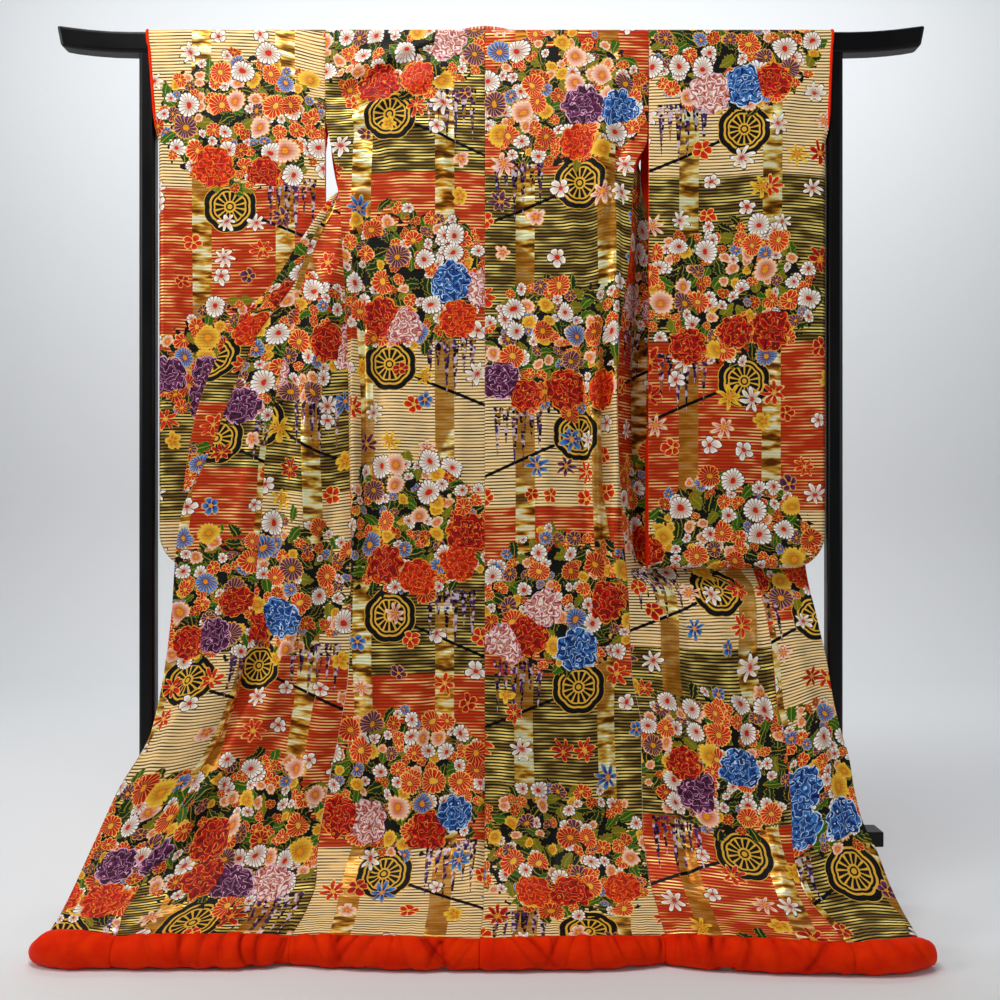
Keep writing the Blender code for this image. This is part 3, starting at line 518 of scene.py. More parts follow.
def back_cloth(side):
    """One back panel from the neckline and the shoulder line down to the hem."""
    table = smooth_table(BACK, HEIGHTS)
    share = columns(BACK_WIDTH)
    edge = SHOULDER_EDGE[side]
    ends = (edge, CENTRE_BACK) if side == "left" else (CENTRE_BACK, edge)
    rows = []
    last = OVER_BAR_ROWS[-1]
    for length in OVER_BAR_ROWS + BELOW_BAR_ROWS:
        x = ends[0] + SEAM_GAP / 2 + share * (ends[1] - ends[0] - SEAM_GAP)
        off = clamp(abs(x - CENTRE_BACK) / NECK_HALF_WIDTH)
        neckline = NECK_DROP * (1 - off**4) + SEAM_GAP / 2
        down = np.maximum(length, neckline + min(1.0, length / last) * (last - neckline))
        out, height = over_bar(down).T
        rows.append(np.c_[x, -out, height])
    for level, row in zip(HEIGHTS, table):
        left_x, left_y, left_mid, centre_y, right_mid, right_x, right_y = row
        centre = (CENTRE_BACK - 0.0045 * clamp((0.062 - level) / 0.0175), centre_y, level)
        if side == "left":
            middle = ((left_x + centre[0]) / 2, left_mid, level)
            keys = [(left_x, left_y, level), middle, centre]
        else:
            middle = ((right_x + centre[0]) / 2, right_mid, level)
            keys = [centre, middle, (right_x, right_y, level)]
        rows.append(across(keys, 0, 2, share, SEAM_GAP / 2, SEAM_GAP / 2))
    points = np.array(rows)
    return settle(points, 1, BACK_CREASES, clamp((1.66 - points[..., 2]) / 0.06))


# Brocade: weft stripes of gold thread on blocks of three ground colours, two bands of gold
# foil in each width, and flowers heaped on carts with loose blossoms and maple leaves
# between them. The flowers grow from scattered spots, so that no two heaps are the same.
STRIPE_PITCH = 0.0062
STRING_PITCH = 0.0165
LEAF_LENGTH = 0.0215
WHEEL_ASIDE = 0.185
BLOCK_LENGTH = 0.3225
HEAP_PITCH = 0.485
WHEEL_PLACE = 0.77
FOIL_PLACES = (0.078, 0.240)
FOIL_HALF_WIDTH = 0.0188
# The heap's middle and half its size: across the panel in metres, down it in repeats
HEAP_MIDDLE = (0.160, 0.435)
HEAP_SIZE = (0.172, 0.275)


def lay_of(brocade, place, shift=0.0):
    """Where a spot lies in the repeat, and how far out of the heap of flowers: its rim is 1."""
    to_repeats = (1.0, 1.0 / HEAP_PITCH, 0.0)
    unshifted = (0.5 - shift, -0.37 * shift / HEAP_PITCH, 0.0)
    lay = brocade.vector("FRACTION", brocade.vector("MULTIPLY_ADD", place, to_repeats, unshifted))
    wide, high = HEAP_SIZE
    to_rim = (1.0 / wide, 1.0 / high, 0.0)
    middle = (-(0.5 + HEAP_MIDDLE[0]) / wide, -HEAP_MIDDLE[1] / high, 0.0)
    return lay, brocade.vector("LENGTH", brocade.vector("MULTIPLY_ADD", lay, to_rim, middle))


class Spots:
    """Scattered spots: how far and which way this point is from its spot, and the spot's luck."""

    def __init__(self, brocade, drawn, spacing, jitter, shift):
        place = brocade.vector("ADD", drawn, (shift, shift * 0.37, 0.0))
        luck, spot = brocade.cells(place, 1.0 / spacing, jitter)[1:]
        offset = brocade.vector("SUBTRACT", place, spot)
        self.lot, self.chance, self.size = brocade.parts(luck, "SeparateColor")
        x, y = brocade.parts(offset)[:2]
        self.away = brocade.vector("LENGTH", offset)
        self.angle = self.size.scaled(6.283, y.do("ARCTAN2", x))
        self.lay, self.out = lay_of(brocade, spot, shift)

    def petals(self, count, radius, notch, least_size=0.76, full=(0.0, 0.8)):
        """A round flower: how far out this point is, as a share, and its place in a petal."""
        wave = abs((self.angle * (count / 2)).do("COSINE"))
        edge = wave.span(*full, radius * (1 - notch), radius)
        return self.away / (edge * self.size.span(0.0, 1.0, least_size, 1.04)), wave


def lay_flower(brocade, laid, spots, flower, where):
    """Puts one more flower over those that are laid already: its radius, petal and dye lot."""
    below, below_shown = laid
    out, wave = flower
    shown = (out < 1.0) * where
    drawn = brocade.take("CombineXYZ", {0: out, 1: wave, 2: spots.lot})
    return shown.blend(below, drawn), below_shown | shown


def brocade_material():
    """The brocade, from its woven ground up to the flowers that lie over it."""
    brocade = Recipe("gold_brocade", IOR=1.28)
    cloth = brocade.take("UVMap", uv_map="weave")
    aside, down = brocade.parts(cloth)[:2]
    side = aside.do("FRACT")
    block = brocade.parts(brocade.take("UVMap", uv_map="blocks"))[0]
    ground = (block.do("FLOOR") % 3.0).scaled(1 / 3, 1 / 6)

    # Weft stripes: dark green, orange and cream ground, with gold or brown thread that is lightened
    # in scattered patches as a painted glint
    painted_glint_noise = brocade.noise(brocade.vector("MULTIPLY", cloth, (17.0, 60.0, 0.0)), 1.0, 1.0)
    stripe = down.do("PINGPONG", STRIPE_PITCH / 2)
    thin = ground.choose(((0.0, (0.48,) * 4), (0.334, (0.56,) * 4), (0.667, (0.60,) * 4)))
    line = stripe.scaled(2 / STRIPE_PITCH, thin * -1.0).span(-0.06, 0.06)
    plain = ground.dyed((0.0, 14, 13, 8), (0.334, 212, 66, 8), (0.667, 255, 240, 204))
    thread = ground.dyed((0.0, 176, 154, 90), (0.334, 214, 136, 60), (0.667, 140, 106, 62))
    # Paler thread colours for the painted glint, blended in where the noise is high
    painted_glint_colour = ground.dyed((0.0, 255, 240, 170), (0.334, 255, 236, 180), (0.667, 214, 176, 110))
    surface = line.blend(plain, painted_glint_noise.span(0.42, 0.64).blend(thread, painted_glint_colour))

    # Foil bands, creased like leaf, in part dull; elsewhere the creases are painted into the colour
    # as pale and dark streaks, painted highlights and shade
    first, second = [side.near(place, FOIL_HALF_WIDTH) for place in FOIL_PLACES]
    band = first | second
    slant = {"Vector": cloth, "Rotation": (0.0, 0.0, 0.62), "Scale": (19.0, 66.0, 1.0)}
    crumple = brocade.noise(brocade.take("Mapping", slant), 1.0, 2.5)
    # Painted highlights and shade of the creased foil, from brown to near white
    painted_foil_light = (
        (0.34, 146, 108, 38), (0.45, 216, 174, 82), (0.53, 250, 228, 148), (0.60, 255, 255, 228),
    )
    dull = brocade.noise(cloth, 5.0, 0.0).span(0.54, 0.58, 0.0, 0.8)
    foil = dull.blend(crumple.dyed(*painted_foil_light, smooth=True), dye(206, 160, 78))
    surface = (band * line.span(0.0, 1.0, 0.84, 1.0)).blend(surface, foil)

    # The drawing wavers a little, as hand-drawn flowers do
    waver = brocade.noise(cloth, 30.0, 1.0, output=1)
    drawn = brocade.vector("MULTIPLY_ADD", waver, (0.014, 0.014, 0.0), cloth)

    # Cart wheel and shaft under each heap
    tile = (down / HEAP_PITCH).do("FRACT")
    wheel_x = side - WHEEL_ASIDE
    wheel_y = tile.scaled(HEAP_PITCH, -WHEEL_PLACE * HEAP_PITCH)
    hub = brocade.vector("LENGTH", brocade.take("CombineXYZ", {0: wheel_x, 1: wheel_y}))
    spin = wheel_y.do("ARCTAN2", wheel_x)
    spoke = abs((spin * 7.0).do("COSINE"))
    lobes = abs((spin * 4.0).do("SINE"))
    share = hub / lobes.span(0.0, 1.0, 0.0500, 0.0530)
    gold, black = (240, 208, 112), (14, 12, 26)
    rings = (0.0, 0.09, 0.15, 0.23, 0.56, 0.62, 0.70, 0.78, 0.97)
    wheel = share.dyed(*[(ring, *(black if i % 2 else gold)) for i, ring in enumerate(rings)])
    wheel = (share.near(0.40, 0.18) * (spoke < 0.5)).blend(wheel, dye(*gold))
    shaft = wheel_x.scaled(0.42, wheel_y).near(0.002, 0.0032) * wheel_x.near(-0.100, 0.085)
    surface = shaft.blend(surface, dye(*black))
    covered = share < 1.0
    surface = covered.blend(surface, wheel)

    # Wisteria that hangs beside the cart, each string narrower towards its end
    string = side.scaled(1 / STRING_PITCH, -0.97)
    hung = brocade.take("TexWhiteNoise", {"W": string.do("FLOOR")}, noise_dimensions="1D")
    string_width = tile.span(0.66, hung.span(0.0, 1.0, 0.80, 0.93), 0.50, 0.0)
    from_dot, dot_luck = brocade.cells(drawn, 150.0, 0.8)[:2]
    strings = string.near(3.0, 3.0) * string.do("FRACT").near(0.5, string_width)
    strings = strings * tile.near(0.80, 0.135) * (from_dot < 0.56)
    lilac = dot_luck.dyed(
        (0.0, 70, 44, 88), (0.36, 128, 96, 150), (0.56, 228, 214, 226), (0.72, 196, 160, 92)
    )
    surface = strings.blend(surface, lilac)

    # Dark foliage under the heap, ragged at its rim, and leaves over it
    ragged = brocade.noise(cloth, 62.0, 1.0)
    foliage = lay_of(brocade, cloth)[1] < ragged.span(0.35, 0.65, 0.68, 1.0)
    surface = foliage.blend(surface, ragged.blend(dye(8, 22, 8), dye(40, 62, 18)))
    leaf = Spots(brocade, drawn, 0.027, 0.9, 3.1)
    ratio = leaf.away * leaf.angle.do("COSINE") / LEAF_LENGTH
    sideways = abs(leaf.away * leaf.angle.do("SINE"))
    notches = ratio.do("PINGPONG", 0.17).span(0.0, 0.17, LEAF_LENGTH * 0.36, LEAF_LENGTH * 0.54)
    blade = ratio.scaled(ratio * -1.0, 1.0) * notches
    green = leaf.lot.dyed(
        (0.0, 26, 104, 34), (0.34, 92, 150, 36), (0.62, 16, 74, 36), (0.82, 168, 166, 50)
    )
    veins = (sideways < 0.0008) | (sideways > blade - 0.0011)
    shown = (sideways < blade) * (leaf.out < leaf.chance.span(0.0, 1.0, 1.09, 0.86))
    surface = shown.blend(surface, veins.blend(green, dye(200, 184, 96)))
    covered = covered | (shown | foliage)

    # Loose cherry blossoms and maple leaves between the heaps
    loose = Spots(brocade, drawn, 0.066, 0.85, 12.6)
    outside = loose.out > 1.11
    nothing = ((2.0, 0.0, 0.0, 1.0), 0.0)
    cherry = loose.petals(5.0, 0.0195, 0.40)
    laid = lay_flower(brocade, nothing, loose, cherry, outside * (loose.chance < 0.38))
    maple = loose.petals(7.0, 0.0260, 0.64, full=(0.34, 0.99))
    laid = lay_flower(brocade, laid, loose, maple, outside * loose.chance.near(0.56, 0.18))

    # Small daisies and chrysanthemums of two sizes in the heap
    for spacing, shift, count, radius, least in (
        (0.0215, 15.2, 8.0, 0.0116, 0.42),
        (0.0320, 1.3, 11.0, 0.0168, 0.52),
        (0.0500, 5.9, 17.0, 0.0250, 0.46),
    ):
        heap = Spots(brocade, drawn, spacing, 0.80, shift)
        where = (heap.out < 1.02) * (heap.chance > least)
        laid = lay_flower(brocade, laid, heap, heap.petals(count, radius, 0.18), where)
    flowers, flowers_shown = laid
    out, wave, lot = brocade.parts(flowers)
    # Dye lots of orange, white, red, purple, salmon, blue and yellow, at the heart and the tip
    petal = lot.dyed(
        (0.0, 206, 62, 8), (0.27, 232, 206, 190), (0.56, 176, 22, 8), (0.65, 104, 48, 96),
        (0.73, 222, 132, 100), (0.84, 36, 96, 164), (0.91, 214, 160, 34),
    )
    tip = lot.dyed(
        (0.0, 240, 108, 24), (0.27, 255, 255, 252), (0.56, 220, 44, 20), (0.65, 160, 108, 150),
        (0.73, 255, 238, 228), (0.84, 136, 188, 230), (0.91, 250, 226, 110),
    )
    outline = lot.dyed((0.0, 255, 226, 160), (0.27, 146, 100, 66), (0.56, 246, 206, 130))
    heart = lot.dyed((0.0, 250, 214, 110), (0.27, 226, 84, 14), (0.56, 244, 190, 60))
    body = out.span(0.25, 0.85).blend(petal, tip)
    body = ((wave < 0.25) | (out > 0.90)).blend(body, outline)
    surface = flowers_shown.blend(surface, (out < 0.23).blend(body, heart))
    covered = covered | flowers_shown

    # Heavy peonies low in the heap, of ragged petals in rings
    peony = Spots(brocade, drawn, 0.080, 0.60, 9.4)
    out = peony.petals(9.0, 0.0430, 0.14, 0.80)[0]
    level = out.scaled(3.6, brocade.noise(cloth, 88.0, 0.0).span(0.3, 0.7, -0.5, 0.5))
    lap = abs(peony.angle.scaled(2.5, level.do("FLOOR") * 1.7).do("SINE"))
    depth = lap.scaled(0.50, level).do("FRACT")
    petal = peony.lot.dyed(
        (0.0, 150, 10, 2), (0.32, 190, 44, 2), (0.56, 18, 62, 134), (0.72, 84, 28, 72),
        (0.84, 196, 90, 66),
    )
    tip = peony.lot.dyed(
        (0.0, 232, 50, 16), (0.32, 246, 112, 22), (0.56, 112, 172, 222), (0.72, 168, 104, 150),
        (0.84, 255, 246, 236),
    )
    pale = peony.lot.dyed((0.0, 250, 190, 100), (0.56, 226, 240, 255), (0.72, 240, 206, 226))
    shade = depth.span(0.05, 0.75).blend(petal, tip)
    shade = ((depth > 0.88) | (out > 0.95)).blend(shade, pale)
    shade = (lap < 0.12).blend(shade, petal)
    shown = (out < 1.0) * (peony.out < 0.94)
    shown = shown * (brocade.parts(peony.lay)[1] > peony.chance.span(0.0, 1.0, 0.62, 0.36))
    surface = shown.blend(surface, shade)
    covered = covered | shown

    # Gold thread and foil gleam where no flower covers them, and stand up a little in the weave
    metal = (line * 0.35 | band * 0.50) * (1.0 - covered)
    brocade.relief((crumple * band).scaled(7.0, line), 0.0004, 0.8)
    return brocade.finish(
        Base_Color=brocade.take("Gamma", {"Color": surface, "Gamma": 1.82}),
        Metallic=metal,
        Roughness=metal.span(0.0, 0.5, 0.56, 0.34),
    )


BROCADE = brocade_material()

# Lining and hem pads: plain red silk with a fine close weave and a soft sheen. Painted
# shade makes it darker at the bottom of the pads' gathers.
silk = Recipe("red_lining_silk", IOR=1.12)
spot = silk.take("TexCoord", output="Object")
across_threads = {"Vector": spot, "Scale": 420.0, "Distortion": 0.4}
warp = silk.take("TexWave", across_threads, "Fac", bands_direction="X")
weft = silk.take("TexWave", {**across_threads, "Scale": 380.0}, "Fac", bands_direction="Z")
slub = silk.noise(spot, 34.0, 2.0, "3D")
silk.relief(warp * weft + slub * 2.0, 0.0005, 0.5)
# Painted shade: a darker red where the pads' gathers are deep, read from the mesh
painted_fold_shade = silk.take("Attribute", output="Fac", attribute_name="gather")
lit = slub.span(0.3, 0.7).blend(dye(230, 35, 0), dye(244, 52, 0))
RED_SILK = silk.finish(
    Base_Color=painted_fold_shade.blend(lit, dye(160, 14, 0)),
    Roughness=slub.span(0.3, 0.7, 0.46, 0.60),
)

# The panel's number, its first wheel's place and the first change of ground below the
# shoulder, the first ground, and the step to the next one
PANEL_LAY = {
    "back_left": (0, 0.670, 0.300, 0.0, 1.0),
    "back_right": (1, 0.320, 0.300, 2.0, -1.0),
    "sleeve_left": (2, 0.360, 0.325, 3.0, -1.0),
    "sleeve_right": (3, 0.700, 0.305, 2.0, 1.0),
    "front_left": (4, 0.825, 0.3175, 3.0, -1.0),
    "front_right": (5, 0.690, 0.3175, 2.0, 1.0),
    "overlap_left": (6, 0.905, 0.3175, 1.0, 1.0),
    "overlap_right": (7, 0.795, 0.3175, 1.0, 1.0),
    "collar_left": (8, 0.388, 0.3175, 1.0, 1.0),
    "collar_right": (9, 0.388, 0.3175, 1.0, 1.0),
}
# Where the weight drags the stripes off level: x z, reach across and down, drop
GRAIN_PULLS = metres(
    (-300, 1640, 90, 110, -30),
    (-330, 900, 60, 200, -12),
    (230, 1300, 30, 180, 10),
    (-480, 300, 120, 160, 24),
    (-640, 160, 90, 110, -30),
    (470, 340, 90, 160, -20),
    (650, 300, 60, 200, 36),
    (0, 160, 120, 90, 10),
    (560, 1300, 80, 160, 8),
    (-500, 1500, 80, 160, -8),
)


def grain_pull(x, z):
    """How far the stripes are dragged down here."""
    total = 0 * x
    for x0, z0, wide, high, drop in GRAIN_PULLS:
        total += drop * np.exp(-(((x - x0) / wide) ** 2) - ((z - z0) / high) ** 2)
    return total


def set_up(name, data):
    """A new object at the origin."""
    made = bpy.data.objects.new(name, data)
    bpy.context.scene.collection.objects.link(made)
    return made


def cloth_piece(name, points, aside, down, brocade_side):
    """A thin shell of brocade on a grid of points, lined with red silk, in place of its solid.

    The pattern follows the length aside of every point and the length down of every row."""
    rows, count = points.shape[:2]
    bm = bmesh.new()
    bmesh.ops.create_grid(bm, x_segments=rows - 1, y_segments=count - 1, size=1.0)
    mesh = bpy.data.meshes.new(name)
    bm.to_mesh(mesh)
    bm.free()
    flat = np.zeros(len(mesh.vertices) * 3, np.float32)
    mesh.vertices.foreach_get("co", flat)
    flat = flat.reshape(-1, 3)
    row = np.rint((flat[:, 0] + 1) / 2 * (rows - 1)).astype(int)
    column = np.rint((flat[:, 1] + 1) / 2 * (count - 1)).astype(int)
    placed = points[row, column] + np.array([0.0, BAR_SETBACK, 0.0])
    mesh.vertices.foreach_set("co", placed.astype(np.float32).ravel())
    corner = np.zeros(len(mesh.loops), np.int32)
    mesh.loops.foreach_get("vertex_index", corner)
    number, wheel, change, first, step = PANEL_LAY[name]
    u = aside[row, column]
    x, z = points[row, column, 0], points[row, column, 2]
    v = down[row] + 0.0018 * np.sin(19 * x + 7 * z) + grain_pull(x, z)
    weave = np.c_[u + number, v - wheel + (2 + WHEEL_PLACE) * HEAP_PITCH]
    blocks = np.c_[first + step * ((v - change) / BLOCK_LENGTH + 1), np.zeros_like(v)]
    for layer, values in (("weave", weave), ("blocks", blocks)):
        data = mesh.uv_layers.new(name=layer).data
        data.foreach_set("uv", values[corner].astype(np.float32).ravel())
    mesh.materials.append(BROCADE)
    mesh.materials.append(RED_SILK)
    mesh.update()
    middle = mesh.polygons[len(mesh.polygons) // 2]
    i = row[middle.vertices[0]]
    j = column[middle.vertices[0]]
    wanted = outward(points, brocade_side)[i, j]
    if np.dot(np.array(middle.normal), wanted) < 0:
        mesh.flip_normals()
    mesh.shade_smooth()
    piece = set_up("cloth_" + name, mesh)
    wall = piece.modifiers.new("wall", "SOLIDIFY")
    wall.thickness = CLOTH_THICKNESS
    wall.offset = 0.0
    wall.material_offset = 1
    wall.material_offset_rim = 1
    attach(piece, "root")
    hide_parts(name)


for side in ("left", "right"):
    points = back_cloth(side)
    aside, down = lengths_of(points)
    if side == "left":
        aside = aside[:, -1:] - aside
    cloth_piece("back_" + side, points, aside, down.mean(axis=1), 1)

# Sleeves: one length of brocade each, which goes over the bar and hangs to a rounded lower
# corner. The two layers are sewn along the foot and the outer edge, below the wrist opening.
SLEEVE_WIDTH = 0.33
SLEEVE_FOOT = 0.654
SLEEVE_FOOT_ROWS = 9
SLEEVE_FOOT_ROUND = 0.03
SLEEVE_CORNER = 0.068
CUFF_END = 1.485
SLEEVE_EDGE_ROUND = 0.014
# X of the outer edge, and of the same edge on the bar
SLEEVES = {"left": (-0.6475, -0.6690), "right": (0.6525, 0.6640)}
# Height, half the space between the two layers
SLEEVE_FULLNESS = metres(
    (1667, 20.3),
    (1600, 21.6),
    (1530, 23),
    (1400, 21.5),
    (1200, 20),
    (900, 17.5),
    (654, 15),
)
# Share of the width and height of a fold's top and foot, half width, height
SLEEVE_FOLDS = (
    (0.06, 1.640, 0.30, 1.420, 0.026, 0.005),
    (0.88, 1.660, 0.62, 1.430, 0.026, 0.006),
    (0.45, 1.100, 0.52, 0.760, 0.040, 0.005),
    (0.80, 1.200, 0.76, 0.800, 0.036, -0.004),
    (0.20, 1.000, 0.16, 0.720, 0.036, -0.004),
)
# Height, how far the inner edge of the far layer lies towards the middle
FAR_EDGE = {
    "left": metres((1690, 0), (1530, 0), (1470, -8), (1380, -8), (1300, 0), (600, 0)),
    "right": metres(
        (1690, 0), (1530, 0), (1485, 8.5), (1425, 9.5), (1330, -7), (960, -7), (880, 0), (600, 0)
    ),
}
# Finer creases in the same terms as the folds
SLEEVE_CREASES = (
    (0.97, 1.660, 0.40, 1.560, 0.008, 0.0022),
    (0.95, 1.640, 0.52, 1.470, 0.009, -0.0022),
    (0.05, 1.610, 0.28, 1.530, 0.009, 0.0020),
    (0.10, 1.500, 0.16, 1.120, 0.012, 0.0030),
    (0.30, 1.460, 0.34, 1.020, 0.014, -0.0024),
    (0.55, 1.380, 0.50, 0.980, 0.014, 0.0026),
    (0.72, 1.300, 0.75, 0.880, 0.013, -0.0026),
    (0.90, 1.360, 0.87, 0.960, 0.011, 0.0026),
    (0.24, 0.980, 0.30, 0.700, 0.013, 0.0028),
    (0.64, 0.940, 0.60, 0.690, 0.012, -0.0026),
)


def sleeve_cloth(side):
    """From the foot of the near layer, over the bar, to the foot of the far one."""
    inner = SHOULDER_EDGE[side]
    outer, at_bar = SLEEVES[side]
    sign = -1 if side == "left" else 1
    width = abs(outer - inner)
    flare = abs(at_bar - outer)
    near = SLEEVE_EDGE_ROUND
    share = columns(SLEEVE_WIDTH)
    rim = np.linspace(0.0, 1.0, 9)[1:]
    levels = list(HEIGHTS[HEIGHTS > SLEEVE_FOOT + SLEEVE_FOOT_ROUND])
    for k in range(1, SLEEVE_FOOT_ROWS + 1):
        turned_in = 1 - math.sin(math.pi / 2 * k / SLEEVE_FOOT_ROWS)
        levels.append(SLEEVE_FOOT + SLEEVE_FOOT_ROUND * turned_in)
    bar_rows = OVER_BAR_ROWS[1:] + BELOW_BAR_ROWS
    path = [(z, -1.0) for z in reversed(levels)]
    path += [(-length, -1.0) for length in reversed(bar_rows)]
    path += [(0.0, 1.0)]
    path += [(-length, 1.0) for length in bar_rows]
    path += [(z, 1.0) for z in levels]
    placed = []
    for table in (SLEEVE_FOLDS, SLEEVE_CREASES):
        rows = np.array(table)
        rows[:, [0, 2]] = inner + sign * rows[:, [0, 2]] * width
        placed.append(rows)
    rows = []
    for value, layer in path:
        if value <= 0:
            out, z = over_bar(-value)
            reach = width + flare * (1.0 - 0.2 * (-value) / 0.05)
            x = np.r_[share * (reach - near), reach - near * (1 - rim)]
            rows.append(np.c_[inner + sign * (x + SEAM_GAP / 2), layer * out + 0 * x, z + 0 * x])
            continue
        z = value
        corner = max(0.0, SLEEVE_FOOT + SLEEVE_CORNER - z)
        cut = SLEEVE_CORNER - math.sqrt(max(0.0, SLEEVE_CORNER**2 - corner**2))
        opening = clamp((z - CUFF_END) / 0.02)
        top = clamp((z - CUFF_END) / (1.69 - CUFF_END))
        reach = width - cut + flare * 0.8 * top
        x = np.r_[share * (reach - near), reach - near * (1 - np.sin(rim * math.pi / 2))]
        distance = width - x + flare * 0.8 * top
        if corner > 0.0:
            in_corner = x > width - SLEEVE_CORNER
            round_distance = SLEEVE_CORNER - np.hypot(x - (width - SLEEVE_CORNER), corner)
            distance = np.where(in_corner, round_distance, z - SLEEVE_FOOT)
        distance = np.clip(distance, 0.0, near)
        round_off = np.sqrt(clamp(1 - (1 - distance / near) ** 2))
        kept = opening + (1 - opening) * round_off
        full = smooth_table(SLEEVE_FULLNESS, z)[0]
        offset = np.maximum(full * kept, SEAM_GAP / 2)
        place = inner + sign * (x + SEAM_GAP / 2)
        if layer > 0:
            place = place - sign * smooth_table(FAR_EDGE[side], z)[0] * np.exp(-x / 0.030)
        fade = clamp((1.65 - z) / 0.05) * clamp(x / 0.03) * kept
        bulge = fade * sum(fold_height(place, z + 0 * x, table) for table in placed)
        seam = seam_dip(x) * (z > 1.53)
        y = layer * (offset - seam + (bulge if layer < 0 else 0.7 * bulge))
        rows.append(np.c_[place, y, z + 0 * x])
    return np.array(rows), len(levels) + len(bar_rows)


sleeve_grids = {}
for side, sign in (("left", -1), ("right", 1)):
    points, top_row = sleeve_cloth(side)
    sleeve_grids[side] = points
    aside, down = lengths_of(points)
    down = down.mean(axis=1)
    cloth_piece("sleeve_" + side, points, aside, abs(down - down[top_row]), -sign)

# Fronts and overlap strips: the fronts go over the bar and hang behind it, then swing out
# to the sides and turn their brocade to the viewer. A narrow overlap strip edges each.
# Height, then x y of the side seam, the middle, the overlap seam, the collar seam and the edge
FRONT_LEFT = metres(
    (1667, -321, 20.3, -210, 22.5, -104, 24, -104, 24, -62, 33),
    (1600, -320.5, 22, -235, 31, -165, 37, -165, 37, -122, 44),
    (1530, -319.5, 23, -260, 42, -215, 48, -215, 48, -178, 53.5),
    (1470, -315, 18, -283, 42, -255, 49, -255, 49, -230, 54),
    (1420, -305, 0, -297, 22, -289, 34, -284, 38, -275, 40),
    (1385, -295.5, -18, -298, -4, -301, 4, -304, 5, -309, 1),
    (1352, -290, -30.2, -297, -23, -304, -21, -311, -24, -322, -33),
    (1315, -288.5, -30.6, -304, -27, -320, -31, -330, -37, -343, -44),
    (1270, -286, -31, -313, -33, -339, -39, -350, -44, -372, -49),
    (1210, -283, -31.5, -323, -37, -358, -43, -371, -47, -409, -52),
    (1096, -277, -32, -335, -44, -387, -48, -448, -52, -500, -55),
    (966, -274, -32, -346, -46, -414, -50, -503, -53, -556, -56),
    (867, -271.5, -32, -350, -46, -431, -50, -540, -54.5, -577, -56),
    (769, -270, -32.5, -354, -46, -437, -50, -586.5, -56, -589, -56),
    (685, -268.5, -32.8, -357, -46, -446, -50, -600, -56, -600, -56),
    (588, -270, -33, -362, -47, -454, -51, -606, -57, -606, -57),
    (482, -273, -35, -370, -50, -467, -55, -617, -61, -617, -61),
    (353, -288, -43, -397, -62, -505, -80, -635, -88, -635, -88),
    (250, -307, -64, -432, -92, -556, -113, -686, -118, -686, -118),
    (180, -316.5, -87, -452, -120, -586, -142, -712, -142, -712, -142),
    (131, -319, -115, -460, -145, -605, -168, -728, -166, -728, -166),
    (90, -315, -155, -468, -188, -622, -208, -738, -200, -738, -200),
    (62, -323, -202, -478, -226, -633, -238, -746, -225, -746, -225),
    (44.5, -338, -250, -485, -250, -630, -250, -754, -240, -754, -240),
)
FRONT_RIGHT = metres(
    (1667, 306, 20.3, 200, 22.5, 84, 24, 84, 24, 40, 33),
    (1600, 306, 22, 220, 31, 145, 37, 145, 37, 102, 44),
    (1530, 304.5, 23, 246, 42, 195, 48, 195, 48, 157, 50),
    (1470, 298, 12, 285, 38, 275, 48, 275, 48, 256, 54),
    (1440, 285, -15, 293, 18, 299, 40, 299, 45, 301, 52),
    (1420, 277, -30, 289, 8, 301, 37, 304, 43, 310, 52),
    (1385, 274.5, -30.6, 289, 6, 303, 36, 310, 42, 324, 50),
    (1352, 272.5, -31, 290, 10, 314, 41, 326, 46, 362, 51),
    (1270, 268.5, -31.5, 293, 21, 356, 45, 372, 47, 426, 50),
    (1180, 257, -32, 293, 27, 390, 46, 426, 48, 478, 49),
    (1096, 248, -32, 293, 29, 415, 45, 477, 47, 528, 48),
    (980, 243, -32, 294, 30, 445, 44, 533, 46, 585, 47),
    (870, 245.5, -32, 296, 30, 470, 43, 574, 44, 610, 45),
    (769, 252, -32.5, 298, 29, 493, 39, 617.5, 41, 620, 41),
    (690, 258, -32.8, 300, 26, 512, 32, 622, 33, 622, 33),
    (650, 261, -33.1, 304, 18, 520, 25, 625, 26, 625, 26),
    (610, 264, -33.3, 335, -12, 530, 10, 628, 10, 628, 10),
    (577.5, 266, -33.6, 375, -25, 535, -4, 632, -6, 632, -6),
    (534, 268, -34.5, 398, -33, 540, -20, 638, -20, 638, -20),
    (474.5, 271, -35.5, 406, -40, 544, -36, 647, -35, 647, -35),
    (402, 280, -38.5, 412, -50, 545.6, -54, 654, -52, 654, -52),
    (350, 288, -42, 418, -60, 553, -72, 662, -68, 662, -68),
    (300, 288, -50, 420, -74, 556, -88, 672, -86, 672, -86),
    (250, 287, -60, 420, -90, 555, -106, 674, -106, 674, -106),
    (200, 286, -73, 418, -108, 551, -129, 680, -130, 680, -130),
    (150, 286.2, -96, 418, -134, 546, -158, 697, -160, 697, -160),
    (110, 288, -128, 421, -167, 548, -190, 704, -192, 704, -192),
    (80, 292, -166, 430, -204, 560, -220, 712, -218, 712, -218),
    (62, 296, -200, 440, -233, 578, -242, 718, -236, 718, -236),
    (44.5, 300, -250, 448, -260, 597, -270, 725, -250, 725, -250),
)
FRONT_WIDTH = 0.27
OVERLAP_WIDTH = 0.14
# Where the cloth of the overlap strip was cut from its width
OVERLAP_CUT_FROM = 0.085
